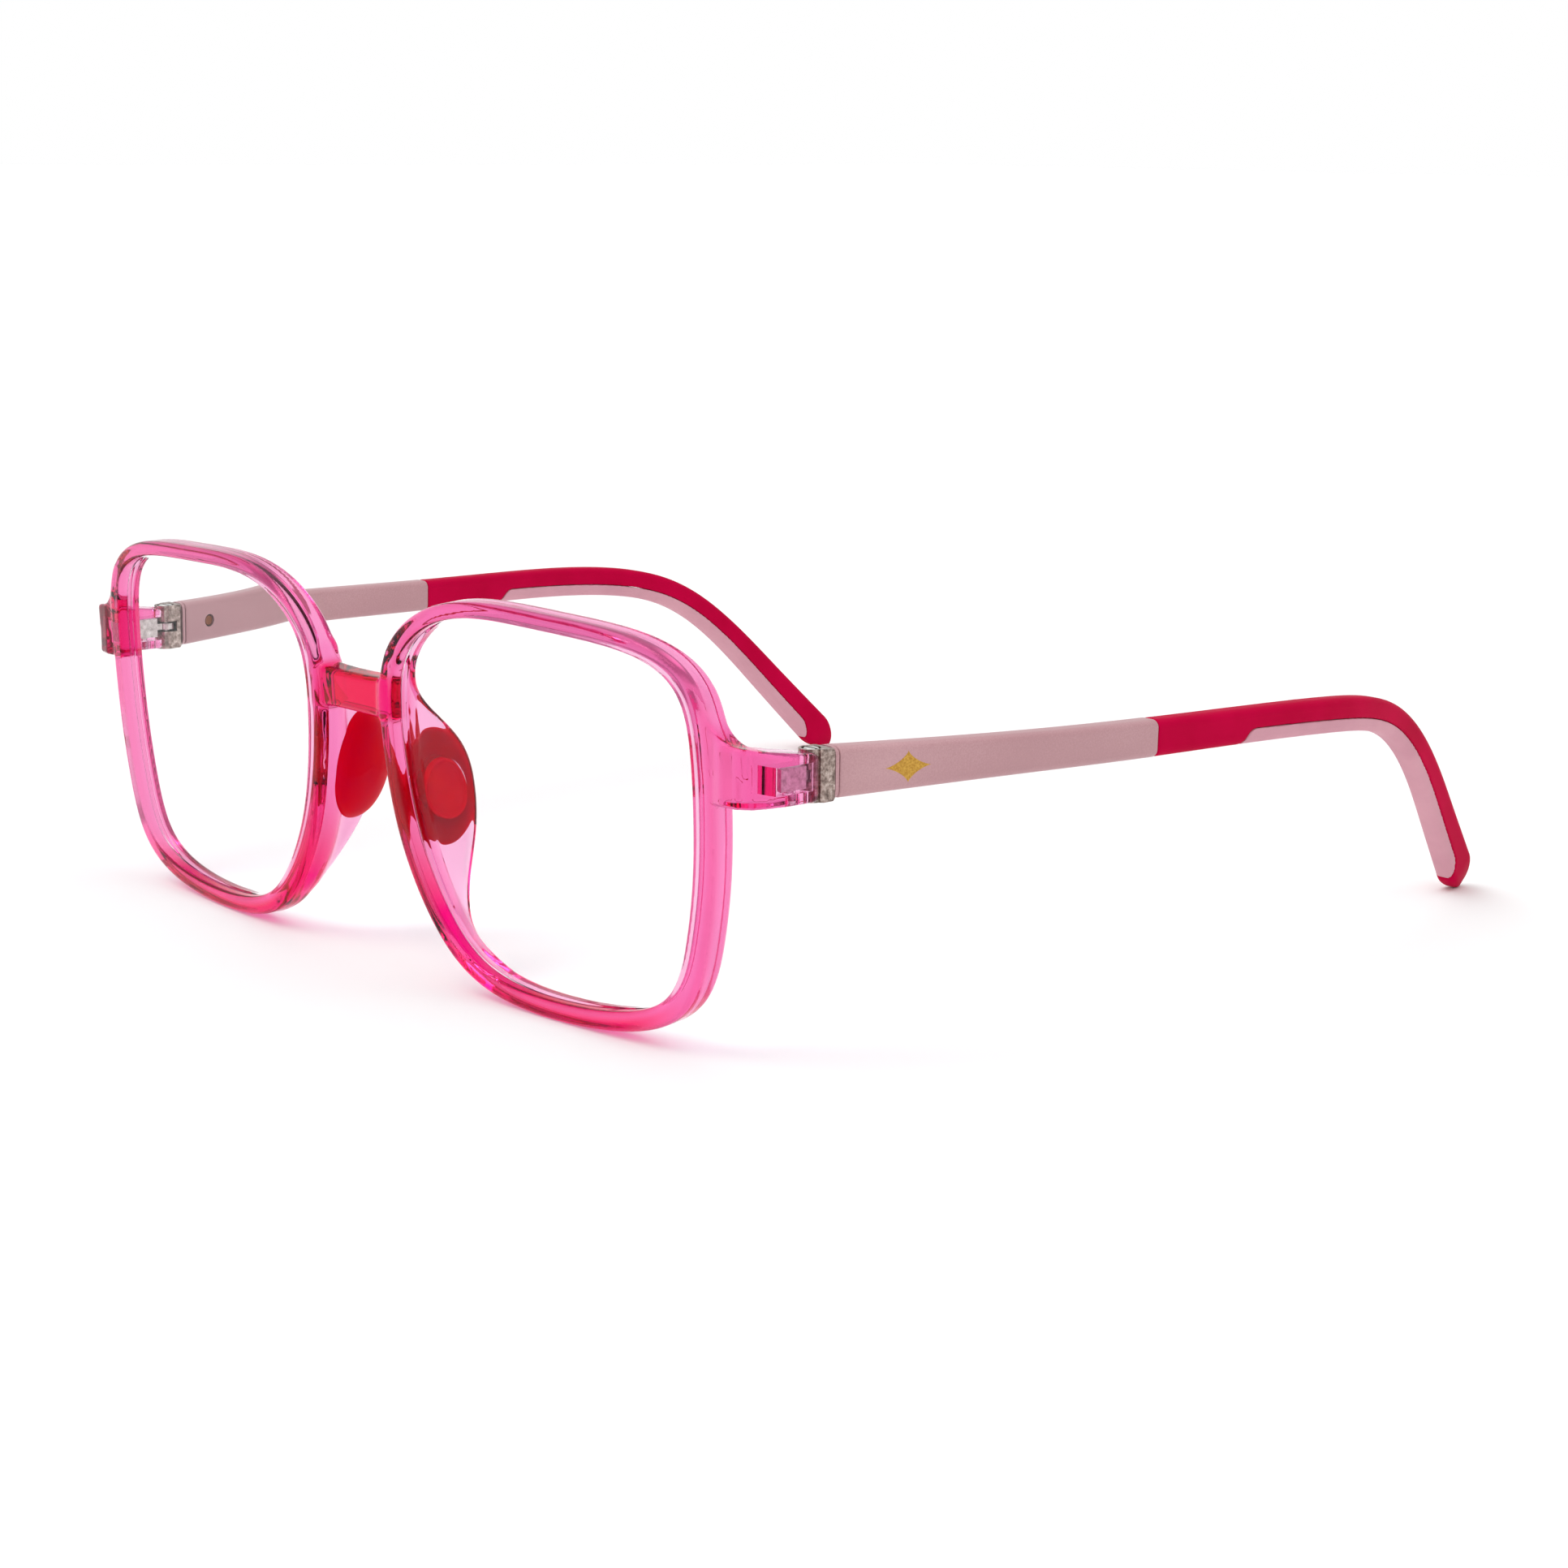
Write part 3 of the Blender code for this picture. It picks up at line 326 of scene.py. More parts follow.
def wing_value(u, h, d):
    """Distance to the blade from inside the rim back to its free edge, which is nearly half round."""
    middle, half_tall = (WING[0, 0] + WING[-1, 0]) / 2, (WING[0, 0] - WING[-1, 0]) / 2
    root = np.interp(h, WING_FINE[:, 0], WING_FINE[:, 1])
    edge = np.interp(h, WING_FINE[:, 0], WING_FINE[:, 2])
    across = (u - root - WING_SPLAY * (d - RIM_DEPTH)) / math.hypot(1.0, WING_SPLAY)
    return rounded(0.82 * MM, np.abs(across) - WING_THICK / 2, d - edge, WING_ROOT - MM - d,
                   np.abs(h - middle) - half_tall - MM)


def lug_value(u, h, d, beyond_rim):
    """Distance to the lug: its plan carried up between two sloping faces, with a gusset over its top whose
    hollow is the fillet of the top with the rim."""
    x, y, z = np.moveaxis(front_point(u, h, d), -1, 0)
    back = (y - LUG_FROM) / LUG_LONG
    low = LUG_FRONT[0] + (LUG_BACK[0] - LUG_FRONT[0]) * back
    high = LUG_FRONT[1] + (LUG_BACK[1] - LUG_FRONT[1]) * back
    block = rounded(0.45 * MM, outline_distance(LUG, x, y), z - high, low - z)
    corner = blend(beyond_rim + 0.1 * MM, z - high, GUSSET_REACH)
    gusset = rounded(0.5 * MM, corner, d - GUSSET_DEEP, 0.15 * MM - d, x - GUSSET_X, (low + high) / 2 - z,
                     z - high - 6 * MM, -beyond_rim - 1.6 * MM)
    return blend(block, gusset, 0.3 * MM)


def front_value(u, h, d, near):
    """Distance to the front's skin at (u, h, d): across, up and back from its front face."""
    u = np.abs(u)
    here, normal, width = near
    out = (u - here[..., 0]) * normal[..., 0] + (h - here[..., 1]) * normal[..., 1]
    soft = np.where(out > width / 2, 0.78 * MM, 0.45 * MM)
    value = rounded(soft, np.abs(out - width / 2) - width / 2, np.abs(d - RIM_DEPTH / 2) - RIM_DEPTH / 2)
    tall = BAR_HALF_TALL + BAR_FLARE * (np.minimum(u, 8 * MM) / BAR_FLARE_AT) ** 3
    bar = rounded(0.8 * MM, u - BAR_REACH, np.abs(h - BAR_AT) - tall, np.abs(d - BAR_MID) - BAR_HALF_DEEP)
    value = blend(value, bar, 0.9 * MM)
    value = blend(value, wing_value(u, h, d), 1.3 * MM)
    at_lug = u > 54 * MM
    lug = lug_value(u[at_lug], h[at_lug], d[at_lug], (out - width)[at_lug])
    value[at_lug] = blend(value[at_lug], lug, 0.35 * MM)
    return value


def field_skin(low, high, cell):
    """Skin of the front's field: one point in each cell that it crosses, the mean of its edges' crossings,
    and one quad round each grid edge that it crosses."""
    count = np.round((high - low) / cell).astype(int) + 1
    axes = [low[i] + cell * np.arange(count[i]) for i in range(3)]
    half = count[0] // 2
    flat_u, flat_h = (v.ravel() for v in np.meshgrid(axes[0][half:], axes[1], indexing="ij"))
    near = [np.repeat(v[:, None], count[2], axis=1) for v in nearest_rim(flat_u, flat_h)]
    values = front_value(*np.broadcast_arrays(flat_u[:, None], flat_h[:, None], axes[2][None]), near)
    values = values.reshape(count[0] - half, count[1], count[2])
    values = np.concatenate([values[::-1][:half], values], axis=0)

    inside = values < 0
    corners = [(i, j, k) for i in (0, 1) for j in (0, 1) for k in (0, 1)]
    shape = count - 1
    held = sum(inside[i:i + shape[0], j:j + shape[1], k:k + shape[2]].astype(np.int8)
               for i, j, k in corners)
    cells = np.argwhere((held > 0) & (held < 8))
    total, hits = np.zeros((len(cells), 3)), np.zeros(len(cells))
    for a in corners:
        for b in corners:
            if sum(b) == sum(a) + 1 and sum(np.abs(np.subtract(a, b))) == 1:
                va, vb = values[tuple((cells + a).T)], values[tuple((cells + b).T)]
                cut = (va < 0) != (vb < 0)
                part = np.where(cut, va / np.where(cut, va - vb, 1.0), 0.0)[:, None]
                total += cut[:, None] * (np.array(a) + part * np.subtract(b, a))
                hits += cut
    points = low + cell * (cells + total / hits[:, None])

    index = np.full(shape, -1)
    index[tuple(cells.T)] = np.arange(len(cells))
    quads = []
    for axis in range(3):
        side_a, side_b = np.eye(3, dtype=int)[(axis + 1) % 3], np.eye(3, dtype=int)[(axis + 2) % 3]
        first = inside[tuple(slice(0, -1) if i == axis else slice(None) for i in range(3))]
        second = inside[tuple(slice(1, None) if i == axis else slice(None) for i in range(3))]
        edges = np.argwhere(first != second)
        ring = np.stack([index[tuple((edges - m * side_a - n * side_b).T)]
                         for m, n in ((0, 0), (1, 0), (1, 1), (0, 1))], axis=1)
        quads.append(np.where(first[tuple(edges.T)][:, None], ring, ring[:, ::-1]))
    return points, np.concatenate(quads)


def drawn_to_skin(points, rounds):
    """Steps down the field's slope, which put each point on the skin itself."""
    step, furthest = 0.01 * MM, 0.08 * MM
    near = nearest_rim(np.abs(points[:, 0]), points[:, 1])
    for _ in range(rounds):
        value = front_value(*points.T, near)
        slope = np.stack([(front_value(*(points + shift).T, near) - front_value(*(points - shift).T, near))
                          / (2 * step) for shift in np.eye(3) * step], axis=1)
        move = value / np.maximum((slope ** 2).sum(axis=1), 0.2)
        points = points - slope * np.clip(move, -furthest, furthest)[:, None]
    return points


def evened(points, quads, rounds, amount=0.5):
    """Each point goes part of the way to the mean of the points that it shares an edge with."""
    a, b = quads.ravel(), np.roll(quads, -1, axis=1).ravel()
    share = np.bincount(a, minlength=len(points)) + np.bincount(b, minlength=len(points))
    count = len(points)
    for _ in range(rounds):
        mean = np.stack([np.bincount(a, points[b, i], count) + np.bincount(b, points[a, i], count)
                         for i in range(3)], axis=1) / share[:, None]
        points = points + amount * (mean - points)
    return points


def pad_hole(side, sides=64):
    """The oval hole through the wing that takes the pad's plug: an ellipse carried along x."""
    turn = np.arange(sides) * 2 * math.pi / sides
    y = PAD_AT[0] + PAD_HOLE_WIDE * np.cos(turn)
    z = PAD_AT[1] + PAD_HOLE_TALL * np.sin(turn)
    rings = [np.stack([np.full(sides, x), y, z], axis=1) for x in (6.0 * MM, 12.5 * MM)]
    return skin("cutter", rings, side)


def swing_room(side):
    """A quarter round, inwards of the hinge axis, that the cap's inner corner swings through."""
    turn = np.linspace(math.pi, 1.5 * math.pi, 24)
    x, y, radius = HINGE[0], HINGE[1], SWING_RADIUS
    plan = np.stack([x + radius * np.cos(turn), y + radius * np.sin(turn)], axis=1)
    plan = np.concatenate([plan, [(x, y + MM), (x - radius, y + MM)]])
    rings = [np.column_stack([plan, np.full(len(plan), z)]) for z in (CUT_LOW, CUT_HIGH)]
    return skin("cutter", rings, side)


def lens_groove(side, count=360):
    """The groove that holds the lens: a rectangle with cut corners carried round inside the opening."""
    here, normal = opening(count)
    inner, cut = -0.6 * MM, 0.08 * MM
    section = np.array([(inner, -GROOVE_HALF_WIDE), (GROOVE_DEEP - cut, -GROOVE_HALF_WIDE),
                        (GROOVE_DEEP, cut - GROOVE_HALF_WIDE), (GROOVE_DEEP, GROOVE_HALF_WIDE - cut),
                        (GROOVE_DEEP - cut, GROOVE_HALF_WIDE), (inner, GROOVE_HALF_WIDE)])
    flat = here[:, None] + normal[:, None] * section[:, :1]
    rings = front_point(flat[..., 0], flat[..., 1], LENS_MID + section[:, 1])
    return skin("cutter", rings, side, looped=True)


def front_place(points):
    """Back from placed points to (u, h, d): unlean them, then take off the bow, which depends on u itself
    and so is worked out again from each better u."""
    x, y, z = (points + ORIGIN).T
    h = (z - FRONT_Z) * math.cos(LEAN) - (y - FRONT_Y) * math.sin(LEAN)
    back = (z - FRONT_Z) * math.sin(LEAN) + (y - FRONT_Y) * math.cos(LEAN)
    u = x
    for _ in range(3):
        d = back - BOW * u * u
        u = x / (1 - 2 * BOW * d)
    return np.abs(u), h, d


def mark_painted_deep_pink(front):
    """Point attribute, 0 to 1, of painted deeper pink, standing in for light carried lengthwise through the
    plastic:
    the largest of smooth bands over the bar, the rims' outer part and, fainter, painted dark lines along the rims'
    edges."""
    points = np.zeros(len(front.data.vertices) * 3)
    front.data.vertices.foreach_get("co", points)
    u, h, d = front_place(points.reshape(-1, 3))
    here, normal, width = nearest_rim(u, h)
    out = ((u - here[:, 0]) * normal[:, 0] + (h - here[:, 1]) * normal[:, 1]) / width
    # Painted deeper pink, standing in for light carried lengthwise through the bar and the rims' lower and nasal
    # parts.
    bar = smoothstep(-u, -7.0 * MM, -5.4 * MM) * smoothstep(-np.abs(h - BAR_AT), -3.4 * MM, -2.2 * MM)
    low = smoothstep(-normal[:, 1], 0.1, 0.6) * smoothstep(-u, -56 * MM, -45 * MM)
    nasal = 0.45 * smoothstep(-normal[:, 0], 0.3, 0.8) * smoothstep(-h, 3 * MM, 12 * MM)
    rims = np.maximum(low, nasal) * smoothstep(out, 0.1, 0.55) * smoothstep(-d, -4.2 * MM, -3.0 * MM)
    back = d / RIM_DEPTH
    # Painted shade: faint dark lines along the rims' front-outer, back-outer and front-inner corners.
    edges = np.zeros_like(out)
    for at_out, at_back in ((1.0, 0.0), (1.0, 1.0), (0.0, 0.0)):
        away = np.hypot(out - at_out, 0.8 * (back - at_back))
        edges = np.maximum(edges, 1 - smoothstep(away, 0.12, 0.34))
    painted_deep_pink = front.data.attributes.new("painted_deep_pink", "FLOAT", "POINT")
    painted_deep_pink.data.foreach_set("value", np.maximum.reduce([bar, rims, 0.22 * edges]))


def front_moulding():
    """The field's skin, evened and drawn tight three times, less the hollows for hinge, pads and lenses."""
    points, quads = field_skin(FIELD_LOW, FIELD_HIGH, CELL)
    for _ in range(3):
        points = drawn_to_skin(evened(points, quads, 2), 3)
    front = new_piece("front_moulding", front_point(*points.T), quads.tolist())
    for _, side in SIDES:
        for hollow in (round_box(POCKET_LOW, POCKET_HIGH, 0.3 * MM, side),
                       post(HINGE[0], HINGE[1], CUT_LOW, CUT_HIGH, KNUCKLE_ROOM, side), swing_room(side),
                       post(*PIN_AT, CUT_LOW, HINGE[2], PIN_HOLE, side), pad_hole(side), lens_groove(side)):
            combine(front, hollow, "DIFFERENCE")
    mark_painted_deep_pink(front)
    return shade(front, 50)


# ---------------------------------------------------------------- lenses and pads
def clear_lens(name, side, count=300):
    """Two parallel bowed faces as rings drawn in to the lens centre, joined by a narrow bevelled edge."""
    here, normal = opening(count)
    centre = np.array([LENS_CENTRE, 0.0])
    inner = here + normal * 0.02 * MM
    rows = [(here + normal * 0.22 * MM, 0.3 * MM), (inner, 0.56 * MM)]
    rows += [(centre + (inner - centre) * part, (0.8 - 0.24 * part ** 6) * MM)
             for part in np.linspace(0.985, 0.03, 34)]
    front = [front_point(flat[:, 0], flat[:, 1], LENS_MID - depth) for flat, depth in rows[::-1]]
    back = [front_point(flat[:, 0], flat[:, 1], LENS_MID + depth) for flat, depth in rows]
    return shade(skin(name, front + back, side), 50)


def wing_middle(y, z):
    """X of the wing's middle plane at the given Y and Z."""
    height = (z - FRONT_Z) / math.cos(LEAN)
    depth = y - FRONT_Y + height * math.sin(LEAN)
    root = np.interp(height, WING[::-1, 0], WING[::-1, 1])
    return root + WING_SPLAY * (depth - RIM_DEPTH) - depth * 2 * BOW * root


def silicone_pad(name, side):
    """Egg-shaped rings, each given by its half width, half height and distance from the wing: an oval plug
    with a step, a flat back with a rounded rim, then a dome that closes by a power of its height."""
    turn = np.arange(96) * 2 * math.pi / 96
    egg = 1.0 - 0.10 * np.sin(turn)

    def ring(wide, tall, away):
        y = PAD_AT[0] + wide * np.cos(turn) * egg
        z = PAD_AT[1] + tall * np.sin(turn)
        return np.stack([wing_middle(y, z) - away, y, z], axis=1)

    step = PLUG_END + 0.18 * MM
    rings = [ring(PLUG_WIDE * f, PLUG_TALL * f, PLUG_END) for f in (0.02, 0.5, 0.7)]
    rings += [ring(PLUG_WIDE * 0.78, PLUG_TALL * 0.8, step), ring(PLUG_WIDE * 0.86, PLUG_TALL * 0.88, step)]
    rings += [ring(PLUG_WIDE * f, PLUG_TALL * f, PLUG_END + d * MM)
              for f, d in ((0.93, 0.0), (0.98, 0.06), (1.0, 0.2))]
    rings += [ring(PLUG_WIDE, PLUG_TALL, PAD_BASE)]
    rings += [ring(PAD_WIDE * f, PAD_TALL * f, PAD_BASE + d * MM)
              for f, d in ((0.8, 0.0), (0.93, 0.02), (0.98, 0.12), (1.0, 0.35))]
    part = np.linspace(0.16, 1.0, 26)
    rings += [ring(PAD_WIDE * dome + 1e-5, PAD_TALL * dome + 1e-5, PAD_BASE + PAD_THICK * p)
              for p, dome in zip(part, (1 - part ** 2.6) ** 0.46)]
    return shade(skin(name, rings, side), 60)


# ---------------------------------------------------------------- temples
class TempleLine:
    """The temple's centre line by distance from its front end. Sections run along X and across the line."""

    def __init__(self):
        fine = np.linspace(0, len(TEMPLE) - 1, 2001)
        y, z, x = spline(TEMPLE, fine).T
        outer = np.stack([x, y, z], axis=1)
        self.tall = spline(TEMPLE_TALL[:, None], fine)[:, 0]
        run = np.gradient(outer, axis=0)
        self.ahead = run / np.linalg.norm(run, axis=1)[:, None]
        up = np.cross([1.0, 0.0, 0.0], self.ahead)
        self.up = up / np.linalg.norm(up, axis=1)[:, None]
        self.centre = outer - [TEMPLE_THICK / 2, 0.0, 0.0]
        step = np.linalg.norm(np.diff(outer, axis=0), axis=1)
        self.distance = np.concatenate([[0.0], np.cumsum(step)])
        self.length = self.distance[-1]

    def read(self, table, s):
        """The table's row at distance s, between samples by straight lines."""
        return np.stack([np.interp(s, self.distance, table[:, i]) for i in range(3)], axis=-1)

    def points(self, s, side, up):
        """Points at distance s, side along x and up across the line, which runs straight on past its end."""
        s, side, up = np.broadcast_arrays(*(np.asarray(v, dtype=float) for v in (s, side, up)))
        beyond = (s - np.clip(s, 0.0, self.length))[..., None]
        base = self.read(self.centre, s) + self.read(self.ahead, s) * beyond
        return base + side[..., None] * np.array([1.0, 0.0, 0.0]) + self.read(self.up, s) * up[..., None]

    def height(self, s):
        """The section's height at distance s."""
        return np.interp(s, self.distance, self.tall)


LINE = TempleLine()


def rounded_section(half_wide, half_tall, corner, steps=7):
    """A rectangle whose corners are quarter rounds, as (side, up)."""
    rows = []
    for cx, cy, start in ((1, 1, 0), (-1, 1, 90), (-1, -1, 180), (1, -1, 270)):
        turn = np.radians(start + np.linspace(0, 90, steps))
        rows.append(np.stack([cx * (half_wide - corner) + corner * np.cos(turn),
                              cy * (half_tall - corner) + corner * np.sin(turn)], axis=1))
    return np.concatenate(rows)


def temple_skin(name, stations, side, shrink, corner=0.85 * MM):
    """The temple's rounded section swept along its line; shrink scales each section about the line."""
    rings = []
    for s, scale in zip(stations, shrink):
        section = rounded_section(TEMPLE_THICK / 2, LINE.height(s) / 2, corner) * scale
        rings.append(LINE.points(s, section[:, 0], section[:, 1]))
    return skin(name, rings, side)


def cross_post(s, radius, inner, outer, side):
    """A round post across the temple, from inner to outer along x."""
    turn = np.arange(40) * 2 * math.pi / 40
    rings = [LINE.points(s + radius * np.cos(turn), x, radius * np.sin(turn)) for x in (inner, outer)]
    return skin("cutter", rings, side)


def temple_arm(name, side):
    """The hard arm: the swept section with eased ends, a screw hole and a slot for the cap's tang."""
    edge = 0.2 * MM
    stations = np.concatenate([[ARM_START, ARM_START + edge * 0.4],
                               np.linspace(ARM_START + edge, ARM_END - edge, 90),
                               [ARM_END - edge * 0.4, ARM_END]])
    shrink = np.ones(len(stations))
    shrink[[0, 1, -2, -1]] = (0.93, 0.98, 0.98, 0.95)
    arm = temple_skin(name, stations, side, shrink)
    combine(arm, cross_post(TANG_SCREW_AT, TANG_SCREW_HOLE, -3 * MM, -0.6 * MM, side), "DIFFERENCE")
    slot = [LINE.points(s, np.array([-0.8, 0.8, 0.8, -0.8]) * MM, np.array([-1.4, -1.4, 1.4, 1.4]) * MM)
            for s in np.linspace(-1 * MM, 9.8 * MM, 8)]
    combine(arm, skin("cutter", slot, side), "DIFFERENCE")
    return shade(arm, 35)


def tip_stations():
    """Distances along the soft tip, and how far each section is drawn in: at the end it is one less a part
    of a low power, times the root of one less a high power, which makes a blunt rounded point."""
    taper_start = LINE.length - TIP_TAPER
    body = np.linspace(ARM_END + 0.35 * MM, taper_start, 190)
    part = np.linspace(0.01, 0.999, 34)
    point = (1 - 0.74 * part ** 1.8) * np.sqrt(1 - part ** 9)
    front = ARM_END + np.array([0.08, 0.15, 0.25]) * MM
    stations = np.concatenate([front, body, taper_start + TIP_POINT * part])
    return stations, np.concatenate([[0.95, 0.98, 0.995], np.ones(len(body)), point])


def inlay_top(s):
    """Height of the inlay's upper edge over the line: it rises from below the section, runs straight, and
    falls below it again."""
    rise, fall = smoothstep(s, *INLAY_START), 1 - smoothstep(s, *INLAY_END)
    level = np.interp(s, (INLAY_START[1], INLAY_END[0]), INLAY_TOP)
    return -INLAY_BELOW + (level + INLAY_BELOW) * np.minimum(rise, fall)


def inlay_block(side, clearance):
    """Everything below the inlay's upper edge, over the inlay's length."""
    rings = []
    for s in np.linspace(INLAY_START[0] - MM, INLAY_END[1] + MM, 150):
        top = inlay_top(s + clearance * np.array([-1.0, 0.0, 1.0])).max() + clearance
        rings.append(LINE.points(s, np.array([-2.4, 2.4, 2.4, -2.4]) * MM,
                                 np.array([-4.2 * MM, -4.2 * MM, top, top])))
    return skin("cutter", rings, side)


def tip_piece(name, side, clearance, operation, voxel, rounds):
    """The soft tip less the inlay's block, or only what lies in it, made one even skin."""
    stations, shrink = tip_stations()
    whole = temple_skin(name, stations, side, shrink, TIP_CORNER)
    return shade(fused(combine(whole, inlay_block(side, clearance), operation), voxel, rounds), 50)


def tip_sleeve(name, side):
    """The crimson sleeve: the tip, cut back where the inlay lies."""
    return tip_piece(name, side, 0.05 * MM, "DIFFERENCE", 0.17 * MM, 3)


def grip_inlay(name, side):
    """The pale strip along the sleeve's lower edge."""
    return tip_piece(name, side, -0.02 * MM, "INTERSECT", 0.15 * MM, 4)


def printed_star(name, side):
    """A thin four-pointed star on the arm's outer face: |u| and |v|, each to the power 0.72, add up to one
    along its edge."""
    turn = np.arange(160) * 2 * math.pi / 160
    u = np.sign(np.cos(turn)) * np.abs(np.cos(turn)) ** (2 / 0.72)
    v = np.sign(np.sin(turn)) * np.abs(np.sin(turn)) ** (2 / 0.72)
    rings = []
    for away, scale in ((-0.02, 1.0), (0.012, 1.0), (0.02, 0.93), (0.02, 0.5), (0.02, 0.02)):
        rings.append(LINE.points(STAR_AT + STAR_LONG * u * scale, TEMPLE_THICK / 2 + away * MM,
                                 STAR_TALL * v * scale))
    return shade(skin(name, rings, side), 60)


# ---------------------------------------------------------------- finishes
def nodes_of(name):
    """A new material, its node tree and its shader."""
    made = bpy.data.materials.new(name)
    made.use_nodes = True
    tree = made.node_tree
    return made, tree, tree.nodes["Principled BSDF"]


def add(tree, kind, **values):
    """A node with its properties and, where a name is a socket's, its default values."""
    node = tree.nodes.new(kind)
    for key, value in values.items():
        if hasattr(node, key):
            setattr(node, key, value)
        else:
            node.inputs[key.replace("_", " ")].default_value = value
    return node


def object_noise(tree, scale, detail=3.0, rough=0.55, stretch=(1.0, 1.0, 1.0)):
    """Noise over Object coordinates; scale is in cycles per metre."""
    where = add(tree, "ShaderNodeTexCoord")
    mapping = add(tree, "ShaderNodeMapping")
    mapping.inputs["Scale"].default_value = stretch
    noise = add(tree, "ShaderNodeTexNoise", Scale=scale, Detail=detail, Roughness=rough)
    tree.links.new(where.outputs["Object"], mapping.inputs["Vector"])
    tree.links.new(mapping.outputs["Vector"], noise.inputs["Vector"])
    return noise


def ramp(tree, source, stops):
    """A colour ramp from (position, colour) stops, fed by a value socket."""
    node = add(tree, "ShaderNodeValToRGB")
    while len(node.color_ramp.elements) < len(stops):
        node.color_ramp.elements.new(0.5)
    for element, (at, colour) in zip(node.color_ramp.elements, stops):
        element.position = at
        element.color = (*colour, 1.0)
    tree.links.new(source, node.inputs["Fac"])
    return node


def coloured(tree, shader, source, stops):
    """Base colour from a ramp over a value socket."""
    tree.links.new(ramp(tree, source, stops).outputs["Color"], shader.inputs["Base Color"])


def bumps(tree, shader, source, strength, distance):
    """A bump in the skin from a value socket; distance is its height in metres."""
    node = add(tree, "ShaderNodeBump", Strength=strength, Distance=distance)
    tree.links.new(source, node.inputs["Height"])
    tree.links.new(node.outputs["Normal"], shader.inputs["Normal"])


def span(tree, source, low, high):
    """Noise, which lies mostly between 0.3 and 0.7, spread from low to high."""
    node = add(tree, "ShaderNodeMapRange")
    node.inputs["From Min"].default_value = 0.3
    node.inputs["From Max"].default_value = 0.7
    node.inputs["To Min"].default_value = low
    node.inputs["To Max"].default_value = high
    tree.links.new(source, node.inputs["Value"])
    return node.outputs["Result"]


def lets_lamps_through(tree, shader, tint):
    """Lamps shine through the piece, tinted, instead of leaving a hard shadow under clear plastic."""
    path = add(tree, "ShaderNodeLightPath")
    clear = add(tree, "ShaderNodeBsdfTransparent")
    clear.inputs["Color"].default_value = (*tint, 1.0)
    mix = add(tree, "ShaderNodeMixShader")
    tree.links.new(path.outputs["Is Shadow Ray"], mix.inputs["Fac"])
    tree.links.new(shader.outputs["BSDF"], mix.inputs[1])
    tree.links.new(clear.outputs["BSDF"], mix.inputs[2])
    tree.links.new(mix.outputs["Shader"], tree.nodes["Material Output"].inputs["Surface"])


def clear_pink():
    """Polished clear pink nylon: absorption gives its depth of colour, and the skin has faint ripples."""
    made, tree, shader = nodes_of("clear_pink_nylon")
    shader.inputs["Transmission Weight"].default_value = 1.0
    shader.inputs["IOR"].default_value = 1.36
    shader.inputs["Specular Tint"].default_value = (1.0, 0.2, 0.4, 1.0)
    # Base colour from the painted deeper pink: colour that stands in for light carried lengthwise through the
    # plastic, and painted dark lines along the rims' edges.
    painted_deep_pink = add(tree, "ShaderNodeAttribute", attribute_name="painted_deep_pink")
    coloured(tree, shader, painted_deep_pink.outputs["Fac"], [(0.0, (0.97, 0.93, 0.955)), (1.0, (0.91, 0.0, 0.145))])
    flow = object_noise(tree, 90.0, 2.0)
    tree.links.new(span(tree, flow.outputs["Fac"], 0.02, 0.06), shader.inputs["Roughness"])
    bumps(tree, shader, flow.outputs["Fac"], 0.05, 0.0005)
    absorb = add(tree, "ShaderNodeVolumeAbsorption")
    absorb.inputs["Color"].default_value = (0.94, 0.0, 0.54, 1.0)
    absorb.inputs["Density"].default_value = 410.0
    tree.links.new(absorb.outputs["Volume"], tree.nodes["Material Output"].inputs["Volume"])
    lets_lamps_through(tree, shader, (0.60, 1.0, 0.89))
    return made


def lens_finish():
    """Clear lens with hardly any reflection and a faint smear in its polish."""
    made, tree, shader = nodes_of("clear_lens")
    shader.inputs["Base Color"].default_value = (0.99, 0.995, 1.0, 1.0)
    shader.inputs["Transmission Weight"].default_value = 1.0
    shader.inputs["IOR"].default_value = 1.12
    smear = object_noise(tree, 60.0, 3.0)
    tree.links.new(span(tree, smear.outputs["Fac"], 0.0, 0.02), shader.inputs["Roughness"])
    lets_lamps_through(tree, shader, (0.99, 0.99, 1.0))
    return made


def red_silicone():
    """Dull red silicone: light goes a little way in, over a slightly cloudy shade and a fine grain."""
    made, tree, shader = nodes_of("red_silicone")
    cloud = object_noise(tree, 220.0, 3.0)
    coloured(tree, shader, cloud.outputs["Fac"],
             [(0.3, (0.60, 0.0003, 0.011)), (0.7, (0.54, 0.0003, 0.020))])
    shader.inputs["Roughness"].default_value = 0.42
    shader.inputs["Specular IOR Level"].default_value = 0.05
    shader.inputs["Specular Tint"].default_value = (1.0, 0.2, 0.3, 1.0)
    shader.inputs["Subsurface Weight"].default_value = 0.4
    shader.inputs["Subsurface Radius"].default_value = (1.0, 0.1, 0.15)
    shader.inputs["Subsurface Scale"].default_value = 0.0012
    shader.inputs["IOR"].default_value = 1.41
    fine = object_noise(tree, 1500.0, 2.0)
    bumps(tree, shader, fine.outputs["Fac"], 0.05, 0.00003)
    return made


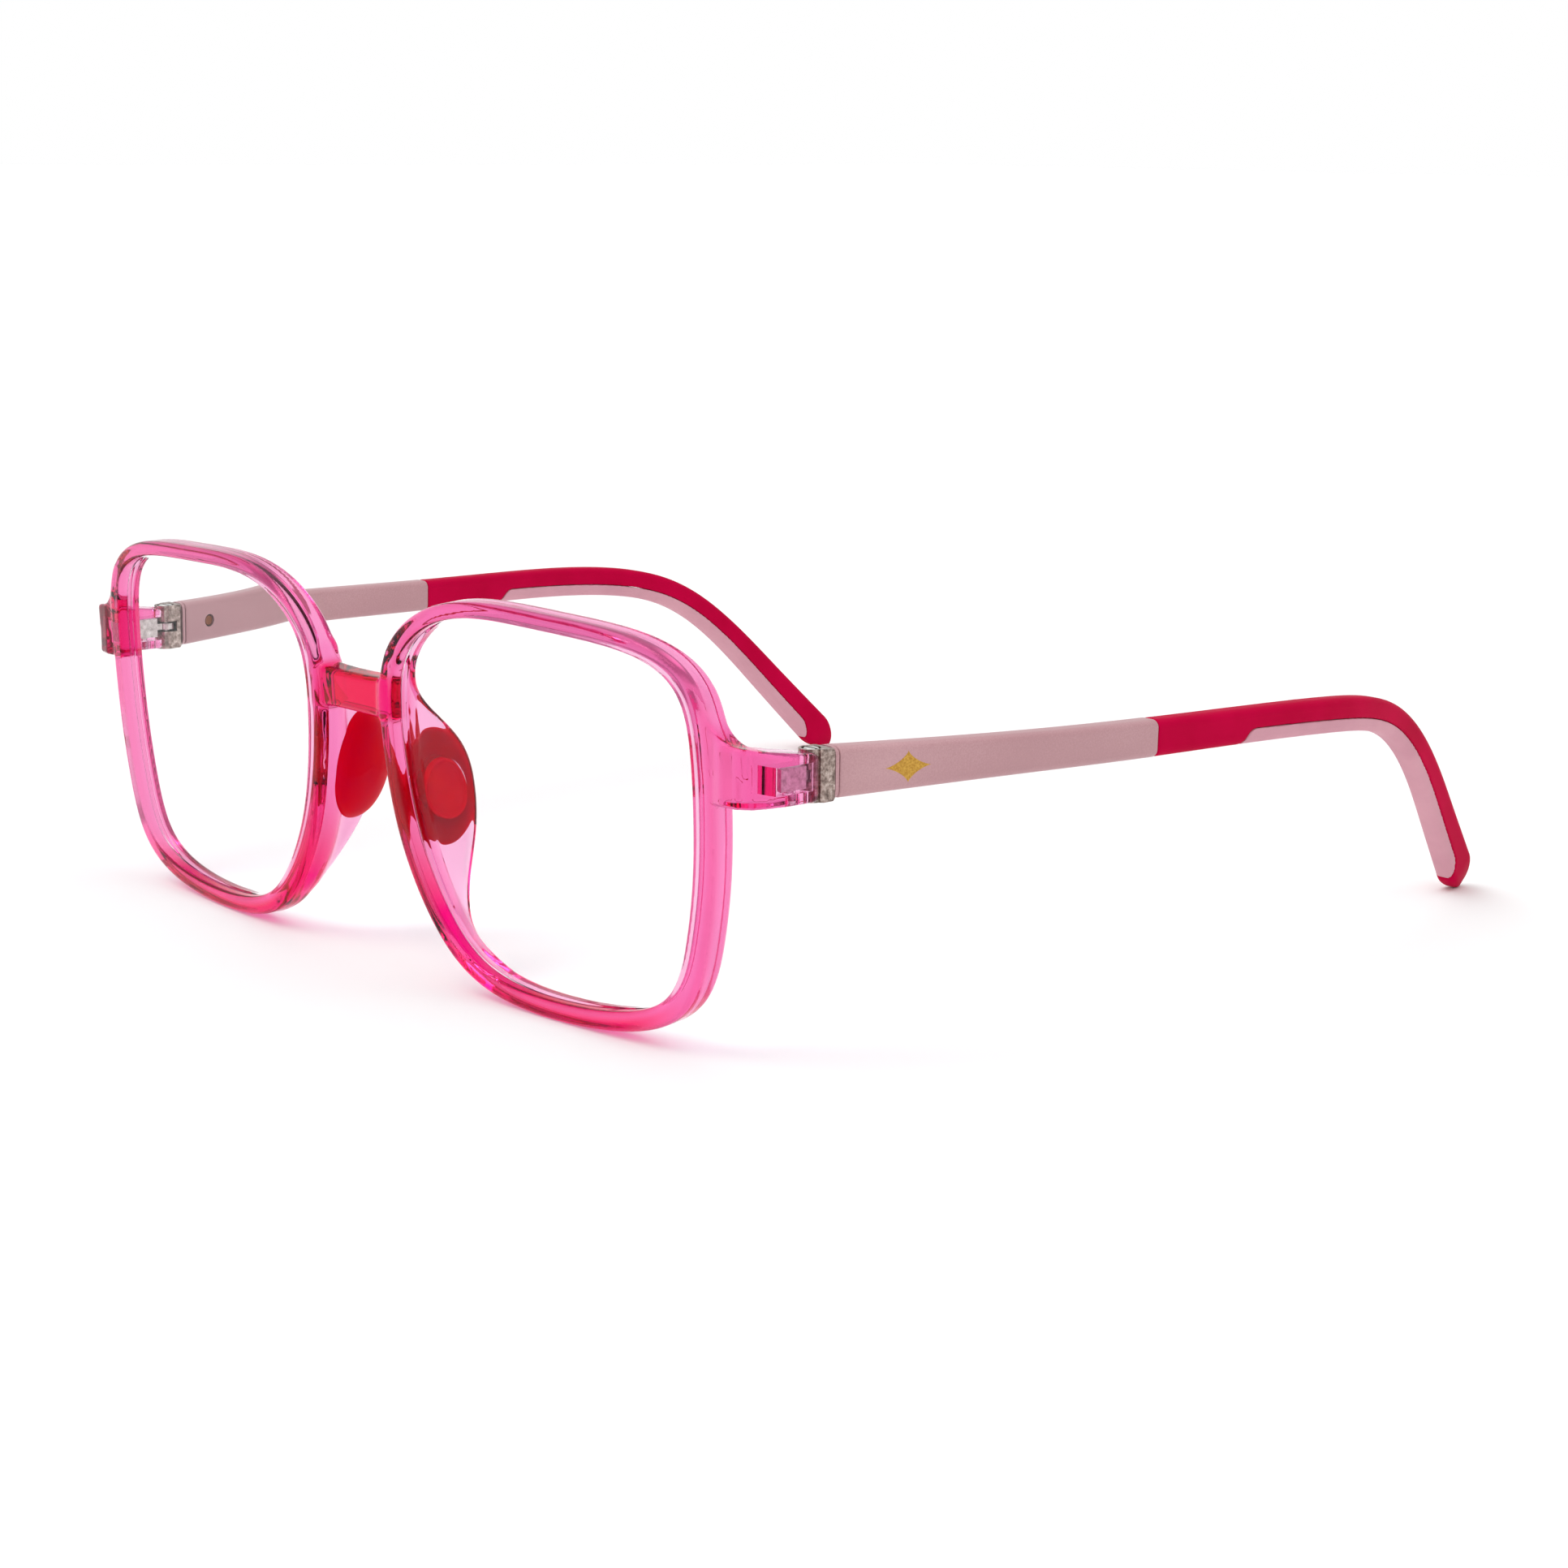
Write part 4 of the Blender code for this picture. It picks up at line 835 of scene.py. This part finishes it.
def satin_pink():
    """Satin lacquered arm: fine pearly speckle, slow shade drift along the arm and a light orange peel."""
    made, tree, shader = nodes_of("pale_nylon")
    pearl = object_noise(tree, 5200.0, 2.0)
    drift = object_noise(tree, 55.0, 2.0, stretch=(1.0, 0.5, 1.0))
    mixed = add(tree, "ShaderNodeMath", operation="MULTIPLY_ADD")
    tree.links.new(pearl.outputs["Fac"], mixed.inputs[0])
    mixed.inputs[1].default_value = 0.45
    tree.links.new(drift.outputs["Fac"], mixed.inputs[2])
    coloured(tree, shader, mixed.outputs["Value"],
             [(0.45, (0.405, 0.212, 0.232)), (0.72, (0.465, 0.247, 0.268)), (0.95, (0.54, 0.308, 0.330))])
    tree.links.new(span(tree, drift.outputs["Fac"], 0.34, 0.46), shader.inputs["Roughness"])
    peel = object_noise(tree, 2400.0, 2.0)
    bumps(tree, shader, peel.outputs["Fac"], 0.10, 0.00003)
    return made


def soft_rubber(name, dark, light, roughness):
    """Soft-touch rubber: a fine matt grain with a slightly uneven shade."""
    made, tree, shader = nodes_of(name)
    cloud = object_noise(tree, 130.0, 4.0)
    coloured(tree, shader, cloud.outputs["Fac"], [(0.3, dark), (0.7, light)])
    shader.inputs["Roughness"].default_value = roughness
    shader.inputs["Specular IOR Level"].default_value = 0.02
    grain = object_noise(tree, 6500.0, 2.0)
    bumps(tree, shader, grain.outputs["Fac"], 0.12, 0.00002)
    return made


def cast_metal(name, dark, middle, light):
    """Cast grey metal: small pits and lumps about 0.4 mm across, bright on top and dull in the hollows."""
    made, tree, shader = nodes_of(name)
    shader.inputs["Metallic"].default_value = 1.0
    lumps = object_noise(tree, 1900.0, 4.0, 0.6)
    coloured(tree, shader, lumps.outputs["Fac"], [(0.32, dark), (0.5, middle), (0.7, light)])
    tree.links.new(span(tree, lumps.outputs["Fac"], 0.48, 0.26), shader.inputs["Roughness"])
    bumps(tree, shader, lumps.outputs["Fac"], 0.5, 0.00012)
    return made


def turned_metal(name, dark, light, roughness):
    """Turned or drawn metal: fine streaks, in shade, in polish and as a slight bump."""
    made, tree, shader = nodes_of(name)
    shader.inputs["Metallic"].default_value = 1.0
    streak = object_noise(tree, 1500.0, 3.0, stretch=(1.0, 1.0, 6.0))
    coloured(tree, shader, streak.outputs["Fac"], [(0.3, dark), (0.7, light)])
    uneven = span(tree, streak.outputs["Fac"], roughness * 0.8, roughness * 1.25)
    tree.links.new(uneven, shader.inputs["Roughness"])
    bumps(tree, shader, streak.outputs["Fac"], 0.12, 0.00003)
    return made


def gold_print():
    """Gold ink with fine metal flakes."""
    made, tree, shader = nodes_of("gold_print")
    flake = object_noise(tree, 4200.0, 2.0)
    coloured(tree, shader, flake.outputs["Fac"], [(0.3, (0.40, 0.185, 0.012)), (0.7, (0.62, 0.36, 0.05))])
    shader.inputs["Metallic"].default_value = 0.35
    shader.inputs["Roughness"].default_value = 0.4
    bumps(tree, shader, flake.outputs["Fac"], 0.1, 0.00002)
    return made


LOOKS = {
    "clear_pink_nylon": clear_pink(),
    "clear_lens": lens_finish(),
    "red_silicone": red_silicone(),
    "pale_nylon": satin_pink(),
    "cast_metal": cast_metal("cast_metal", (0.15, 0.11, 0.095), (0.34, 0.26, 0.23), (0.62, 0.51, 0.465)),
    "crimson_rubber": soft_rubber("crimson_rubber", (0.44, 0.0004, 0.034), (0.52, 0.0006, 0.046), 0.48),
    "pale_rubber": soft_rubber("pale_rubber", (0.58, 0.290, 0.350), (0.65, 0.34, 0.40), 0.5),
    "steel": turned_metal("steel", (0.50, 0.48, 0.46), (0.74, 0.72, 0.70), 0.28),
    "bronze": turned_metal("bronze", (0.16, 0.055, 0.028), (0.30, 0.12, 0.065), 0.5),
}


def dress(piece, slot, body, *nodes):
    """Finish a new piece: its look, its slot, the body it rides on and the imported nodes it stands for."""
    piece.data.materials.clear()
    piece.data.materials.append(LOOKS[slot])
    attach(piece, body)
    if nodes:
        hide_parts(*nodes)


dress(front_moulding(), "clear_pink_nylon", "front", "front_frame")
for word, side in SIDES:
    dress(clear_lens(f"clear_lens_{word}", side), "clear_lens", "front", f"lens_{word}")
    dress(silicone_pad(f"silicone_pad_{word}", side), "red_silicone", "front", f"nose_pad_{word}")
    body = f"temple_{word}"
    dress(temple_arm(f"satin_arm_{word}", side), "pale_nylon", body, f"temple_arm_{word}")
    dress(tip_sleeve(f"soft_sleeve_{word}", side), "crimson_rubber", body, f"tip_sleeve_{word}")
    dress(grip_inlay(f"pale_inlay_{word}", side), "pale_rubber", body, f"grip_inlay_{word}")

star = printed_star("printed_star", 1.0)
star.data.materials.append(gold_print())
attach(star, "temple_left")

NODE_LOOKS = {
    "hinge_tongue": cast_metal("smooth_cast_metal", (0.42, 0.37, 0.36), (0.58, 0.52, 0.51),
                               (0.74, 0.68, 0.67)),
    "end_plate": satin_pink(),
}
slot_of = {entry["node"]: entry["material_slot"] for entry in frame["record"]["subparts"]}
for node, thing in frame["nodes"].items():
    thing.data.materials.clear()
    thing.data.materials.append(NODE_LOOKS.get(node.rsplit("_", 1)[0], LOOKS[slot_of[node]]))


# ---------------------------------------------------------------- floor, light and camera
def floor(half=6):
    """Plain pale floor at height 0, so many metres to each side."""
    mesh = bpy.data.meshes.new("floor")
    corners = [(-half, -half, 0), (half, -half, 0), (half, half, 0), (-half, half, 0)]
    mesh.from_pydata(corners, [], [(0, 1, 2, 3)])
    thing = in_scene("floor", mesh)
    made, tree, shader = nodes_of("pale_floor")
    shader.inputs["Base Color"].default_value = (0.93, 0.93, 0.93, 1.0)
    shader.inputs["Roughness"].default_value = 0.9
    shader.inputs["Specular IOR Level"].default_value = 0.1
    mesh.materials.append(made)


def lamp(name, at, target, size, watts):
    """A rectangular lamp that faces its target."""
    data = bpy.data.lights.new(name, "AREA")
    data.shape, data.size, data.size_y, data.energy = "RECTANGLE", size[0], size[1], watts
    thing = in_scene(name, data)
    thing.location = at
    thing.rotation_euler = (Vector(target) - Vector(at)).to_track_quat("-Z", "Y").to_euler()


def sun(name, towards, degrees, strength):
    """Soft light from far off; degrees is the width of its disc."""
    data = bpy.data.lights.new(name, "SUN")
    data.angle, data.energy = math.radians(degrees), strength
    thing = in_scene(name, data)
    thing.rotation_euler = Vector(towards).to_track_quat("-Z", "Y").to_euler()


def studio_world():
    """White all round, with a darker band high up that only shows as lines in curved clear plastic."""
    world = bpy.data.worlds.new("studio")
    world.use_nodes = True
    tree = world.node_tree
    where = add(tree, "ShaderNodeTexCoord")
    split = add(tree, "ShaderNodeSeparateXYZ")
    tree.links.new(where.outputs["Generated"], split.inputs["Vector"])
    band = ramp(tree, split.outputs["Z"], [(0.0, (0.92,) * 3), (0.35, (0.92,) * 3), (0.5, (0.55,) * 3),
                                           (0.66, (0.55,) * 3), (0.78, (1.2,) * 3)])
    path = add(tree, "ShaderNodeLightPath")
    mix = add(tree, "ShaderNodeMix", data_type="RGBA")
    tree.links.new(path.outputs["Is Camera Ray"], mix.inputs[0])
    tree.links.new(band.outputs["Color"], mix.inputs[6])
    mix.inputs[7].default_value = (1.0, 1.0, 1.0, 1.0)
    back = tree.nodes["Background"]
    tree.links.new(mix.outputs[2], back.inputs["Color"])
    back.inputs["Strength"].default_value = 1.0
    bpy.context.scene.world = world


def studio_camera():
    """Camera at the viewing angle: azimuth from the front towards +X, elevation and a slight roll."""
    azimuth, elevation, roll = (math.radians(v) for v in CAMERA_ANGLES)
    back = Vector((math.sin(azimuth) * math.cos(elevation), -math.cos(azimuth) * math.cos(elevation),
                   math.sin(elevation)))
    right = (-back).cross(Vector((0, 0, 1))).normalized()
    up = right.cross(-back)
    turned = math.cos(roll) * right + math.sin(roll) * up, -math.sin(roll) * right + math.cos(roll) * up
    data = bpy.data.cameras.new("camera")
    data.sensor_width, data.lens, data.clip_start = 36.0, CAMERA_LENS, 0.01
    thing = in_scene("camera", data)
    thing.matrix_world = Matrix((turned[0], turned[1], back)).transposed().to_4x4()
    thing.location = CAMERA_AT
    bpy.context.scene.camera = thing


bpy.context.scene.view_settings.view_transform = "Standard"
floor()
sun("high_sun", towards=(0.25, 0.55, -1.0), degrees=30, strength=0.72)
lamp("side_lamp", at=(0.60, -0.50, 0.55), target=(0.0, 0.0, 0.02), size=(0.12, 0.3), watts=0.5)
lamp("glint_lamp", at=(-0.35, -0.60, 0.35), target=(0.0, 0.0, 0.02), size=(0.05, 0.25), watts=0.3)
studio_world()
studio_camera()
